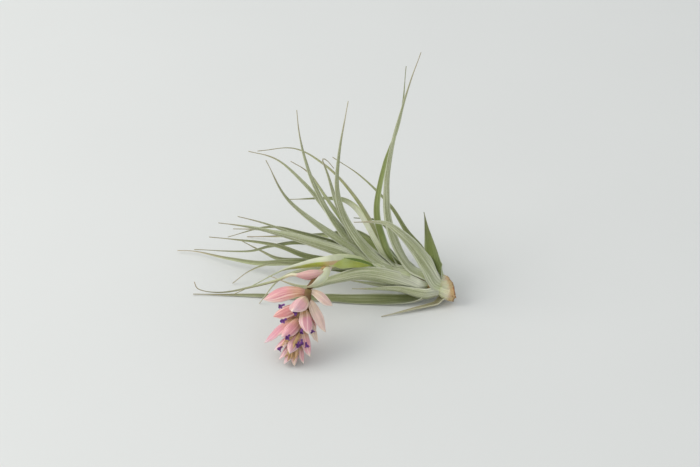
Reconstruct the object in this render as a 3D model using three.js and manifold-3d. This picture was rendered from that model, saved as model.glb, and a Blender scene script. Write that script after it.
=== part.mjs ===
// An air plant that lies on its side: a leaning rosette of narrow channelled leaves on a short woody
// stem, and a curved stalk that carries a nodding head of pink bracts and violet florets down to the
// surface. Millimetres, +Z up. The origin is on the surface, below the middle of the plant's box.
import * as THREE from "three";
import Module from "manifold-3d";

const wasm = await Module();
wasm.setup();

const vec = (x, y, z) => new THREE.Vector3(x, y, z);
const mix = (a, share, b, rest) => a.clone().multiplyScalar(share).addScaledVector(b, rest);
const { lerp, clamp, smoothstep, degToRad } = THREE.MathUtils;

// Driving dimensions. Every place is measured from the floor below the cut end of the stem, the heel.
const HEEL_FROM_ORIGIN = [76.2, -6.7, 0];
const CLEARANCE = 0.3; // between pieces that touch

const STEM = {
  heelHeight: 6.5,
  lean: [-1, 0.14, 0.25], // the way that the plant grows
  sides: 20,
  firstWall: 4, // the first point of the profile past the cut end
  // [distance from the heel, radius]
  profile: [[0.9, 0], [0.5, 3.4], [0, 5.9], [0.5, 6.9], [3, 6.6], [6, 5.4], [11, 4.2], [20, 3.3], [30, 2.7],
    [40, 2.2], [49, 1.7], [52, 0]],
};

// A blade is a crescent: its section drops by the square of the way out, and its wall thins to the edge.
const BLADE = {
  innerPlace: 0.4, // how far out the points beside the middle are, as a share of half the width
  rise: 0.35, // share of the channel's depth that lies below the blade's middle line
  edgeThinning: 0.4,
  leastWall: 0.6,
};

const LEAF = {
  rootDepth: 2, // how far back inside the stem a leaf starts
  rootAway: 0.4, // how far out from the stem's axis that is, as a share of the stem's radius
  hugLength: 4, // how far up the stem the leaf still hugs it
  hugClear: 1.1, // how far its middle line is then off the stem
  linearShare: 0.12, // share of the width that stays until the tip
  baseThickness: 1.5,
  tipThickness: 0.75,
  tipWidth: 1.1,
  channel: 0.24, // depth of the channel, as a share of the width
  clasp: 0.4, // how much wider the clasping base is
  claspLength: 14,
  rootShare: 0.45, // width of the very root, as a share
  rootLength: 7,
  step: 10,
  leastSteps: 6,
  taper: 1.2,
  twistEnd: 0.3, // share of the length by which the blade has turned about its own line
};

// Leaves, from the heel up: how far along the stem each starts, its width at the base, how much fuller it
// is half way up (as a share), how far the blade turns about its own line and rolls about the stem's
// (degrees), and the points that its middle line passes.
const LEAVES = [
  { at: 4, width: 10, belly: 0.45, twist: 45, roll: -35,
    course: [[-9, 11, 13], [-11, 18, 21], [-13, 24, 29], [-15, 30, 38]] },
  { at: 3, width: 6, twist: 28, course: [[-12, -6, 1.6], [-25, -11, 1.2], [-39, -16, 0.5]] },
  { at: 6, width: 9.5, belly: 0.15, twist: -25,
    course: [[-13, -2, 24], [-21, -2, 37], [-29, -1, 46], [-37, 2, 50], [-54, 7, 47]] },
  { at: 8, width: 10, twist: -45,
    course: [[-19, -2, 1.8], [-45, -2, 1], [-73, 0, 0.9], [-101, 2, 0.8], [-143, 4, 0.7]] },
  { at: 9, width: 9, twist: 25, course: [[-15, -4, 7], [-30, -3, 9], [-45, -4, 10], [-55, -5, 11]] },
  { at: 10, width: 6, twist: 25, course: [[-17, 20, 18], [-32, 44, 31], [-50, 62, 41], [-66, 71, 48]] },
  { at: 13, width: 8, twist: -45,
    course: [[-23, 5, 19], [-34, 13, 40], [-36, 21, 61], [-33, 30, 81], [-24.5, 45, 109], [-18, 56, 124]] },
  { at: 14, width: 8.6, belly: 0.4,
    course: [[-22, -1, 10.6], [-39.7, -1, 16.5], [-50, -2.5, 19], [-66, -7, 18], [-80, -13, 18],
      [-100, -9, 23]] },
  { at: 15, width: 8.5, twist: 15, course: [[-27, 33, 18], [-34, 41, 21], [-41, 44, 23], [-54, 42, 26]] },
  { at: 16, width: 8.5, twist: 40, course: [[-23, 0, 8], [-40, 1, 9], [-59, 2, 12]] },
  { at: 17, width: 9,
    course: [[-37, 9, 10], [-64, 15, 11], [-86, 18, 11.8], [-107, 24, 7], [-125, 32, 4.6], [-146, 43, 2.2],
      [-155, 44, 1.9]] },
  { at: 19, width: 7.5, twist: 45,
    course: [[-33, 11, 22], [-38, 18.5, 29.5], [-41, 26, 42], [-37, 41, 60], [-28, 57, 83], [-25, 73, 106]] },
  { at: 21, width: 8.5,
    course: [[-35, 24, 14], [-53, 39, 18], [-65, 43, 14], [-82, 50, 8], [-116, 60, 0.4]] },
  { at: 22, width: 9, twist: -38,
    course: [[-37, 6, 20], [-54, 11, 38], [-62, 16, 57], [-62, 23, 78], [-57, 35, 106]] },
  { at: 24, width: 10, twist: 25,
    course: [[-37, 21, 20], [-52, 47, 29], [-59, 51, 32], [-69, 50, 34], [-90, 44, 37]] },
  { at: 27, width: 5, twist: 25,
    course: [[-39, 22, 26], [-52, 41, 39], [-67, 55, 50], [-87, 64, 58], [-108, 60, 59]] },
  { at: 28, width: 6.5,
    course: [[-51, 10, 14], [-84, 14, 14], [-101, 16, 12.5], [-112.4, 15.5, 7.7], [-121.7, 14, 0.6]] },
  { at: 30, width: 8.5, twist: 32, course: [[-48, 15, 26], [-67, 32, 43], [-79, 44, 55], [-89, 48, 60]] },
  { at: 32, width: 9, twist: -37,
    course: [[-48, 10, 26], [-61, 20, 45], [-68, 31, 62], [-71, 36, 69], [-69, 36, 68], [-65, 34, 64]] },
  { at: 34, width: 8.5, twist: -45,
    course: [[-51, 12, 26], [-67, 23, 42], [-81, 33, 55], [-97, 41, 66], [-112, 44, 69]] },
  { at: 35, width: 8, course: [[-51, 12, 14], [-84, 22, 10], [-96, 27, 8], [-106, 36, 7], [-119, 43, 10]] },
  { at: 37, width: 9, twist: -28,
    course: [[-48, 9, 24], [-64, 16, 41], [-76, 26, 61], [-83, 37, 81], [-85, 46, 94]] },
  { at: 38, width: 5.5, twist: 22,
    course: [[-53, 11, 22], [-81, 18, 26], [-101, 24, 19], [-112, 28, 13], [-144, 32, 11]] },
  { at: 40, width: 8, twist: -30, course: [[-50, 8, 26], [-72, 12, 41], [-91, 16, 58], [-101, 19, 79]] },
  { at: 41, width: 6,
    course: [[-51, 3, 19], [-67, 1, 20.8], [-80.6, -2, 21.6], [-88.7, -3, 19.6], [-96, -4, 15],
      [-106, -4, 0.3]] },
  { at: 43, width: 6, course: [[-51, 10, 17], [-77, 17, 16], [-98, 24, 20], [-135, 30, 21]] },
  { at: 44, width: 7, twist: -35, course: [[-59, 10, 26], [-85, 18, 31], [-103, 22, 36], [-118, 24, 39]] },
  { at: 46, width: 5.5, twist: 38, course: [[-56, 12, 26], [-84, 25, 28], [-100, 29, 29], [-125, 36, 17]] },
  { at: 47, width: 7, twist: -25, course: [[-56, 8, 26], [-83, 11, 35], [-104, 13, 38], [-120, 15, 37]] },
  { at: 48, width: 8.5, course: [[-59, 4, 29], [-83, 4, 38], [-104, 5, 44], [-127, 5, 48]] },
];

// Dry sheaths that wrap the heel: turn round it (degrees), start and end along the stem, and width.
const SHEATHS = {
  radius: 7.3,
  thickness: 0.8,
  channel: 0.27,
  narrowing: 0.55, // how much narrower the end under the leaves is, as a share
  steps: 4,
  scales: [[15, -1.6, 10, 11], [98, 1.6, 8, 11], [185, -0.4, 8, 11]],
};

const STALK = {
  course: [[-44, 6, 17], [-52, 3, 23], [-59, -3, 28], [-67, -15, 34], [-72, -25, 36], [-77.5, -35, 34]],
  baseRadius: 2.2,
  tipRadius: 1.6,
  sides: 10,
  steps: 11,
};

const STALK_BRACT = {
  baseThickness: 1.2,
  tipThickness: 0.75,
  tipWidth: 1.1,
  channel: 0.28,
  step: 5,
  rootShare: 0.55, // width at the very root, as a share
  taper: 1.5, // how suddenly the sheathing part narrows
  awnTaper: 0.7, // how suddenly the long tip narrows
};

// Leafy bracts on the stalk: width of the sheathing part, where it is widest and where it ends (shares of
// the length), width of the long tip at its start, the way across and the points of the middle line.
const STALK_BRACTS = [
  { width: 6.4, peak: 0.62, waist: 1, awn: 0.8, across: [0, 0.6, 0.8],
    course: [[-42.3, 4.1, 18.4], [-46.3, 1.5, 22.8], [-52.3, -0.5, 25.4], [-58.3, -6.5, 29.9],
      [-63, -14, 34.7], [-67.2, -19.5, 37.1]] },
  { width: 6.8, peak: 0.33, waist: 0.74, awn: 1.7, across: [0, 0.6, 0.8],
    course: [[-42.9, 6, 19.1], [-50.6, 3, 24.4], [-58.8, -4, 30.1], [-63, -11.5, 34.9], [-67.2, -18.5, 39.1],
      [-74.6, -19, 38.7], [-82.5, -20.5, 37.9], [-90.2, -22, 36.9], [-98, -24, 34.1], [-104.3, -25, 30.6],
      [-117.2, -26, 23.6]] },
  { width: 7.2, peak: 0.3, waist: 1, awn: 0.8, across: [-0.69, 0.41, 0.59],
    course: [[-64.6, -13, 33], [-67.4, -20, 34.8], [-70.1, -28, 36.8], [-73.6, -34.5, 38], [-77.2, -40, 39],
      [-80.6, -42, 39.3]] },
  { width: 5.6, peak: 0.11, waist: 0.23, awn: 2.1, across: [0, 0.6, 0.8],
    course: [[-70.6, -25.5, 37.5], [-73.9, -29, 38.8], [-77.8, -30, 38.6], [-82.3, -30, 38.6],
      [-87.1, -29, 38.2], [-94.8, -28, 33.9], [-108.4, -28, 29.4], [-122.1, -28, 26.2], [-128.9, -28, 26.2],
      [-133.5, -28, 27], [-137.1, -27, 28.1], [-138.5, -26, 31.4]] },
];

const HEAD = {
  top: [-77.6, -35.4, 33.6],
  tip: [-87.2, -58, 0],
  // [distance from the top, radius]
  core: [[0, 0], [0.3, 1.9], [8, 2.8], [20, 3], [28, 2.4], [36, 0]],
  coreSides: 10,
  bractThickness: 0.9,
  bractTipThickness: 0.7,
  bractTipWidth: 1.2,
  bractChannel: 0.4,
  bractSteps: 5,
  bractWaist: 0.42, // width of a bract's root, as a share
  bractFullest: 0.56, // where a bract is widest, as a share of its length
  bractBluntness: 2.3,
  rootDepth: 1.2, // how far from the head's axis a bract starts
  bow: 0.1, // how much a bract bows outwards, as a share of its length
  bowPlaces: [[0.3, 0.8], [0.6, 1]], // [share of the length, share of the bow there]
  floretRadius: 1.1,
  floretTube: 0.75, // radius of the tube and of the mouth, as shares
  floretMouth: 1.3,
  mouthStart: 0.7,
  floretSides: 6,
  floretSteps: 3,
};

// Bracts of the head: distance from its top, turn round it (0 right, 90 front, 180 left, 270 back),
// spread from its axis, length, width, and the roll of the bract about its own line.
const HEAD_BRACTS = [
  [1, 180, 66, 24, 9.5, -50], [4, 115, 58, 16, 9.5, 0], [9, 178, 58, 17.5, 8.5, -45],
  [14, 187, 41, 25, 8, -25], [15, 140, 40, 16, 9, -10], [0, 0, 68, 15, 7.5, 30],
  [4, 15, 42, 21, 8.5, 20], [12, 350, 38, 18, 7, 20], [9, 58, 37, 16.5, 8.5, 0],
  [18, 25, 31, 18.5, 7, 10], [18, 105, 24, 18, 7.5, 0], [23, 180, 40, 16, 6.5, -20],
  [26, 165, 20, 14, 5.5, 0], [27, 105, 12, 14, 5, 0], [27, 50, 12, 14, 5, 0], [26, 0, 26, 14, 5.5, 10],
  [3, 270, 50, 19, 8, 0], [9, 225, 46, 17, 7.5, 0], [9, 315, 44, 17, 7.5, 0], [15, 270, 38, 15, 7, 0],
  [20, 225, 32, 14, 6.5, 0], [20, 315, 30, 14, 6.5, 0], [25, 270, 18, 14.6, 6, 0],
];

// Florets that peep out between the bracts: distance from the head's top, turn, spread and length.
const FLORETS = [
  [2.8, 145, 60, 17.3], [4.8, 110, 55, 13.4], [9.4, 135, 55, 15.9], [11.9, 80, 40, 13.2],
  [10.4, 40, 40, 13.2], [16.5, 120, 45, 14.1], [17.6, 80, 35, 13.9], [15.4, 70, 35, 14.8],
  [17.8, 50, 40, 14], [22.8, 150, 40, 14], [12, 245, 45, 11], [18, 300, 40, 10],
];

const COLOURS = {
  stem: [0x9a7f68, 0.9],
  sheath: [0xcdb9a3, 0.85],
  leaf: [0x97a492, 0.75],
  bract: [0xb3bd8a, 0.7],
  head: [0xe4a3a6, 0.6],
};

const HEEL = vec(0, 0, STEM.heelHeight);
const GROWTH = vec(...STEM.lean).normalize();
const UP = vec(0, 0, 1).addScaledVector(GROWTH, -GROWTH.z).normalize();
const FRONT = UP.clone().cross(GROWTH);

// A solid from rings of points, all of one count: walls between the rings, and a fan over each end.
function ringSolid(rings) {
  const count = rings[0].length;
  const faces = [];
  rings.slice(1).forEach((_, row) => {
    for (let i = 0; i < count; i += 1) {
      const [a, b] = [row * count + i, row * count + ((i + 1) % count)];
      faces.push(a, b, b + count, a, b + count, a + count);
    }
  });
  const last = (rings.length - 1) * count;
  const hub = count - 2; // the middle of a blade's inner side, which sees every other point of its ring
  for (let i = 1; i < count - 1; i += 1) {
    const [a, b] = [(hub + i) % count, (hub + i + 1) % count];
    faces.push(hub, b, a, last + hub, last + a, last + b);
  }
  return closedSolid(rings.flat(), faces);
}

function closedSolid(points, faces) {
  const vertProperties = new Float32Array(points.flatMap((p) => [p.x, p.y, p.z]));
  const solidFrom = (list) =>
    new wasm.Manifold(new wasm.Mesh({ numProp: 3, vertProperties, triVerts: new Uint32Array(list) }));
  const solid = solidFrom(faces);
  if (solid.volume() > 0) return solid;
  return solidFrom(faces.map((_, i) => faces[i - (i % 3) + [0, 2, 1][i % 3]]));
}

const curve = (course) => new THREE.CatmullRomCurve3(course.map((p) => vec(...p)), false, "centripetal");

// The places along a route, with a direction across it that turns with the route and by the given twist.
function stations(route, across, steps, overrun = 0, twist = 0) {
  const side = vec(...across);
  return Array.from({ length: steps + 1 }, (_, i) => {
    const t = i / steps;
    const along = route.getTangentAt(t);
    side.addScaledVector(along, -side.dot(along)).normalize();
    const end = i === 0 ? -overrun : i === steps ? overrun : 0;
    const centre = route.getPointAt(t).addScaledVector(along, end);
    const turn = degToRad(twist) * smoothstep(t, 0, LEAF.twistEnd);
    return { t, centre, along, side: side.clone().applyAxisAngle(along, turn) };
  });
}

// A channelled blade: a crescent of seven points swept along its route, hollow on its inner side.
function blade({ course, across, twist = 0, width, thickness, channel, steps }, grow) {
  const route = curve(course);
  const rings = stations(route, across, steps, grow, twist).map(({ t, centre, along, side }) => {
    const inner = along.clone().cross(side);
    const half = width(t) / 2;
    const edge = (u, face) => {
      const thinned = thickness(t) * (1 - BLADE.edgeThinning * u * u);
      const wall = Math.max(thinned, BLADE.leastWall) / 2 + grow;
      return centre
        .clone()
        .addScaledVector(side, u * (half + grow))
        .addScaledVector(inner, 2 * half * channel * (u * u - BLADE.rise) + face * wall);
    };
    const outer = [-1, -BLADE.innerPlace, BLADE.innerPlace, 1].map((u) => edge(u, -1));
    return [...outer, ...[1, 0, -1].map((u) => edge(u, 1))];
  });
  return ringSolid(rings);
}

// A round rod along a route.
function rod(course, radius, sides, steps, across, grow) {
  const route = curve(course);
  return ringSolid(
    stations(route, across, steps, grow).map(({ t, centre, along, side }) => {
      const inner = along.clone().cross(side);
      return Array.from({ length: sides }, (_, i) => {
        const turn = (2 * Math.PI * i) / sides;
        return centre
          .clone()
          .addScaledVector(side, (radius(t) + grow) * Math.cos(turn))
          .addScaledVector(inner, (radius(t) + grow) * Math.sin(turn));
      });
    }),
  );
}

// A turned solid on an axis: its profile has [distance, radius] and starts and ends on the axis.
function turned(profile, sides, start, axis, grow) {
  const outline = profile.map(([along, radius], i) => {
    const end = i === 0 ? -grow : i === profile.length - 1 ? grow : 0;
    return new THREE.Vector2(radius ? radius + grow : 0, along + end);
  });
  const shape = new THREE.LatheGeometry(outline, sides);
  shape.applyQuaternion(new THREE.Quaternion().setFromUnitVectors(vec(0, 1, 0), axis));
  shape.translate(start.x, start.y, start.z);
  return solidOfGeometry(shape);
}

function solidOfGeometry(geometry) {
  const found = new Map();
  const points = [];
  const place = geometry.getAttribute("position");
  const index = Array.from({ length: place.count }, (_, i) => {
    const point = vec().fromBufferAttribute(place, i);
    const key = point.toArray().map((value) => Math.round(value * 1e4)).join();
    if (!found.has(key)) found.set(key, points.push(point) - 1);
    return found.get(key);
  });
  const faces = [];
  for (let i = 0; i < geometry.index.count; i += 3) {
    const [a, b, c] = [0, 1, 2].map((k) => index[geometry.index.getX(i + k)]);
    if (a !== b && b !== c && c !== a) faces.push(a, b, c);
  }
  return closedSolid(points, faces);
}

// The direction that points away from the stem's axis at a turn round it: 0 front, 90 up, 180 back.
const outward = (turn) => mix(FRONT, Math.cos(degToRad(turn)), UP, Math.sin(degToRad(turn)));

const onStem = (along, away, direction) =>
  HEEL.clone().addScaledVector(GROWTH, along).addScaledVector(direction, away);

function stemRadius(along) {
  const above = STEM.profile.findIndex(([distance], i) => i >= STEM.firstWall && distance > along);
  const next = above < 0 ? STEM.profile.length - 1 : above;
  const [[a, ra], [b, rb]] = [STEM.profile[next - 1], STEM.profile[next]];
  return lerp(ra, rb, clamp((along - a) / (b - a), 0, 1));
}

function stem(grow) {
  return turned(STEM.profile, STEM.sides, HEEL, GROWTH, grow);
}

// A leaf starts inside the stem, hugs it for a few millimetres and then follows its own course.
function leaf({ at, width, course, belly = 0, twist = 0, roll = 0 }, grow) {
  const first = vec(...course[0]).sub(HEEL);
  const away = first.addScaledVector(GROWTH, -first.dot(GROWTH)).normalize();
  const [root, hug] = [at - LEAF.rootDepth, at + LEAF.hugLength];
  const points = [
    onStem(root, LEAF.rootAway * stemRadius(root), away).toArray(),
    onStem(hug, stemRadius(hug) + LEAF.hugClear, away).toArray(),
    ...course,
  ];
  const length = curve(points).getLength();
  const fall = (t) => lerp((1 - t) ** LEAF.taper, Math.sqrt(1 - t), LEAF.linearShare);
  const clasp = (s) =>
    lerp(LEAF.rootShare, 1, Math.min(1, s / LEAF.rootLength)) +
    LEAF.clasp * Math.exp(-s / LEAF.claspLength);
  const full = (t) => 1 + belly * Math.sin(Math.PI * t);
  return blade(
    {
      course: points,
      across: GROWTH.clone().cross(away).applyAxisAngle(GROWTH, degToRad(roll)).toArray(),
      twist,
      width: (t) => Math.max(width * fall(t) * clasp(t * length) * full(t), LEAF.tipWidth),
      thickness: (t) => lerp(LEAF.baseThickness, LEAF.tipThickness, Math.sqrt(t)),
      channel: LEAF.channel,
      steps: Math.max(LEAF.leastSteps, Math.round(length / LEAF.step)),
    },
    grow,
  );
}

// A dry sheath is a short papery scale that wraps the heel, and may stand a little past its cut end.
function sheath([turn, start, end, width], grow) {
  const away = outward(turn);
  const places = [start, (start + end) / 2, end];
  return blade(
    {
      course: places.map((along) => onStem(along, SHEATHS.radius, away).toArray()),
      across: GROWTH.clone().cross(away).toArray(),
      width: (t) => width * (1 - SHEATHS.narrowing * t * t),
      thickness: () => SHEATHS.thickness,
      channel: SHEATHS.channel,
      steps: SHEATHS.steps,
    },
    grow,
  );
}

function stalk(grow) {
  const radius = (t) => lerp(STALK.baseRadius, STALK.tipRadius, t);
  return rod(STALK.course, radius, STALK.sides, STALK.steps, [0, 0, 1], grow);
}

function stalkBract({ width, peak, waist, awn, across, course }, grow) {
  const { rootShare, taper, awnTaper, tipWidth, step } = STALK_BRACT;
  const rise = (t) => lerp(rootShare, 1, smoothstep(t, 0, peak));
  const fall = (t) => 1 - clamp((t - peak) / (waist - peak), 0, 1) ** taper;
  return blade(
    {
      course,
      across,
      width: (t) => Math.max(width * rise(t) * fall(t), awn * (1 - t) ** awnTaper, tipWidth),
      thickness: (t) => lerp(STALK_BRACT.baseThickness, STALK_BRACT.tipThickness, t),
      channel: STALK_BRACT.channel,
      steps: Math.round(curve(course).getLength() / step),
    },
    grow,
  );
}

const HEAD_TOP = vec(...HEAD.top);
const DROOP = vec(...HEAD.tip).sub(HEAD_TOP).normalize();
const HEAD_RIGHT = vec(1, 0, 0).addScaledVector(DROOP, -DROOP.x).normalize();
const HEAD_FRONT = DROOP.clone().cross(HEAD_RIGHT);

// The line of a bract or a floret, from inside the head's core outwards, and the way across it.
function headLine(from, turn, spread, length, roll, bow) {
  const [round, lean] = [degToRad(turn), degToRad(spread)];
  const out = mix(HEAD_RIGHT, Math.cos(round), HEAD_FRONT, Math.sin(round));
  const way = mix(DROOP, Math.cos(lean), out, Math.sin(lean));
  const place = (s, rise) => mix(DROOP, from - rise, way, s).add(HEAD_TOP).toArray();
  const bowed = HEAD.bowPlaces.map(([share, part]) => place(share * length, part * bow * length));
  return {
    course: [place(HEAD.rootDepth, 0), ...bowed, place(length, 0)],
    across: DROOP.clone().cross(out).applyAxisAngle(way, degToRad(roll)).toArray(),
  };
}

function headBract([from, turn, spread, length, width, roll], grow) {
  const { bractWaist, bractFullest, bractBluntness, bractTipWidth } = HEAD;
  const rise = (t) => lerp(bractWaist, 1, Math.sin((Math.min(1, t / bractFullest) * Math.PI) / 2));
  const fall = (t) => 1 - Math.max(0, (t - bractFullest) / (1 - bractFullest)) ** bractBluntness;
  return blade(
    {
      ...headLine(from, turn, spread, length, roll, HEAD.bow),
      width: (t) => Math.max(width * rise(t) * fall(t), bractTipWidth),
      thickness: (t) => lerp(HEAD.bractThickness, HEAD.bractTipThickness, t),
      channel: HEAD.bractChannel,
      steps: HEAD.bractSteps,
    },
    grow,
  );
}

function floret([from, turn, spread, length], grow) {
  const { course, across } = headLine(from, turn, spread, length, 0, 0);
  const share = (t) => (t > HEAD.mouthStart ? HEAD.floretMouth : HEAD.floretTube);
  const radius = (t) => HEAD.floretRadius * share(t);
  return rod(course, radius, HEAD.floretSides, HEAD.floretSteps, across, grow);
}

function head(grow) {
  const core = turned(HEAD.core, HEAD.coreSides, HEAD_TOP, DROOP, grow);
  return wasm.Manifold.union([
    core,
    ...HEAD_BRACTS.map((bract) => headBract(bract, grow)),
    ...FLORETS.map((place) => floret(place, grow)),
  ]);
}

// The pieces of one kind, numbered from 1, with at least as many digits as asked.
const numbered = (name, finish, list, build, digits = 1) =>
  list.map((one, i) => ({
    name: `${name}_${String(i + 1).padStart(digits, "0")}`,
    finish,
    make: (grow) => build(one, grow),
  }));

// Every piece, the ones that keep their whole shape first: a later piece is cut clear of them.
const PIECES = [
  { name: "stem", finish: "stem", make: stem },
  { name: "flower_head", finish: "head", make: head },
  { name: "flower_stalk", finish: "bract", make: stalk },
  ...numbered("stalk_bract", "bract", STALK_BRACTS, stalkBract),
  ...numbered("dry_sheath", "sheath", SHEATHS.scales, sheath),
  ...numbered("leaf", "leaf", LEAVES, leaf, 2),
];

function boxesMeet(a, b) {
  return [0, 1, 2].every((k) => a.min[k] < b.max[k] && b.min[k] < a.max[k]);
}

// What is left of a piece clear of the pieces before it and above the floor, without loose scraps.
function trimmed(make, cutters) {
  const whole = make(0);
  const near = cutters.filter((cutter) => boxesMeet(whole.boundingBox(), cutter.boundingBox()));
  const clear = near.reduce((left, cutter) => left.subtract(cutter), whole);
  const bodies = clear.trimByPlane([0, 0, 1], 0).decompose();
  return bodies.reduce((most, body) => (body.volume() > most.volume() ? body : most));
}

function meshOf(solid, name, [colour, roughness]) {
  const { vertProperties, triVerts } = solid.getMesh();
  const geometry = new THREE.BufferGeometry()
    .setAttribute("position", new THREE.BufferAttribute(vertProperties, 3))
    .setIndex(new THREE.BufferAttribute(triVerts, 1));
  const material = new THREE.MeshStandardMaterial({ color: colour, roughness, metalness: 0 });
  const mesh = new THREE.Mesh(geometry, material);
  mesh.name = name;
  return mesh;
}

const plant = new THREE.Group();
plant.position.set(...HEEL_FROM_ORIGIN);
const cutters = [];
for (const { name, finish, make } of PIECES) {
  plant.add(meshOf(trimmed(make, cutters), name, COLOURS[finish]));
  cutters.push(make(CLEARANCE));
}

const part = new THREE.Group();
part.add(plant);
export default part;
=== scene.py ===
"""An air plant in flower that lies on its side, dressed for a still picture.

The plant is a leaning rosette of narrow channelled leaves on a short woody stem, with a curved stalk
that nods under a head of pink bracts and violet florets. Every length in the tables is a real size in
millimetres, measured from the floor below the heel, which is the cut end of the stem. Every piece is
grown along a spine by one Geometry Nodes tree and stands for the solid of its own name.
"""

from __future__ import annotations

import logging
import math
from collections.abc import Callable, Sequence
from dataclasses import dataclass, field, replace
from enum import Enum
from typing import Union

import bpy
from mathutils import Matrix, Vector


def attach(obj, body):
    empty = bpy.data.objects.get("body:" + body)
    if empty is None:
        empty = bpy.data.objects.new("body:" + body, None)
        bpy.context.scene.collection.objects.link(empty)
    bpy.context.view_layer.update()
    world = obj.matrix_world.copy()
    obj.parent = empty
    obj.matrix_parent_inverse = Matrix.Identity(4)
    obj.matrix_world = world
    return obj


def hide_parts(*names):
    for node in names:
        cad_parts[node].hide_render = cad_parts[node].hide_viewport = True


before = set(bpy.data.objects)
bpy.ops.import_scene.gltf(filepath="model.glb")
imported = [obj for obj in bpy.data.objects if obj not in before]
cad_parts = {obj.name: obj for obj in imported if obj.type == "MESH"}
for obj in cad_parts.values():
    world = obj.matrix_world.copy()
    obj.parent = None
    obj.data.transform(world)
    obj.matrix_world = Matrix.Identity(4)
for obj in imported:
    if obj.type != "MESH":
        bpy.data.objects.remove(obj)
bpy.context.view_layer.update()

LOG = logging.getLogger("air_plant")
BODY = "root"
MM = 0.001

Triple = tuple[float, float, float]
Profile = Callable[[float], float]

HEEL_FROM_ORIGIN: Triple = (76.2, -6.7, 0.0)
HEEL = Vector((0.0, 0.0, 6.5))
GROWTH = Vector((-1.0, 0.14, 0.25)).normalized()
UP = (Vector((0.0, 0.0, 1.0)) - GROWTH * GROWTH.z).normalized()
FRONT = UP.cross(GROWTH)


def mix(low: float, high: float, share: float) -> float:
    """A number between two others, at a share of the way."""
    return low + (high - low) * share


def ease(low: float, high: float, value: float) -> float:
    """A smooth step from 0 at low to 1 at high."""
    share = min(1.0, max(0.0, (value - low) / (high - low)))
    return share * share * (3 - 2 * share)


# ---------------------------------------------------------------------------------------------------
# Node trees
# ---------------------------------------------------------------------------------------------------


class Link:
    """A socket of a node tree that takes part in Python arithmetic."""

    def __init__(self, maker: "NodeMaker", socket: bpy.types.NodeSocket) -> None:
        """Keeps the socket and the maker of the tree that it belongs to."""
        self.maker = maker
        self.socket = socket

    def other(self, name: str) -> "Link":
        """Another output of the same node, by name."""
        return self.maker.output(self.socket.node, name)

    def __add__(self, term: "Term") -> "Link":
        """Adds a link or a number."""
        return self.maker.maths("ADD", self, term)

    def __radd__(self, term: "Term") -> "Link":
        """Adds this link to a number."""
        return self.maker.maths("ADD", term, self)

    def __sub__(self, term: "Term") -> "Link":
        """Takes a link or a number away."""
        return self.maker.maths("SUBTRACT", self, term)

    def __rsub__(self, term: "Term") -> "Link":
        """Takes this link away from a number."""
        return self.maker.maths("SUBTRACT", term, self)

    def __mul__(self, term: "Term") -> "Link":
        """Multiplies by a link or a number."""
        return self.maker.maths("MULTIPLY", self, term)

    def __rmul__(self, term: "Term") -> "Link":
        """Multiplies a number by this link."""
        return self.maker.maths("MULTIPLY", term, self)

    def __truediv__(self, term: "Term") -> "Link":
        """Divides by a link or a number."""
        return self.maker.maths("DIVIDE", self, term)

    def __rtruediv__(self, term: "Term") -> "Link":
        """Divides a number by this link."""
        return self.maker.maths("DIVIDE", term, self)

    def __pow__(self, term: "Term") -> "Link":
        """Raises to the power of a link or a number."""
        return self.maker.maths("POWER", self, term)

    def __neg__(self) -> "Link":
        """Turns the sign round."""
        return self.maker.maths("MULTIPLY", self, -1.0)


Term = Union[Link, float, int]
Given = Union[Link, float, int, bool, str, Sequence[float]]


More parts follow.
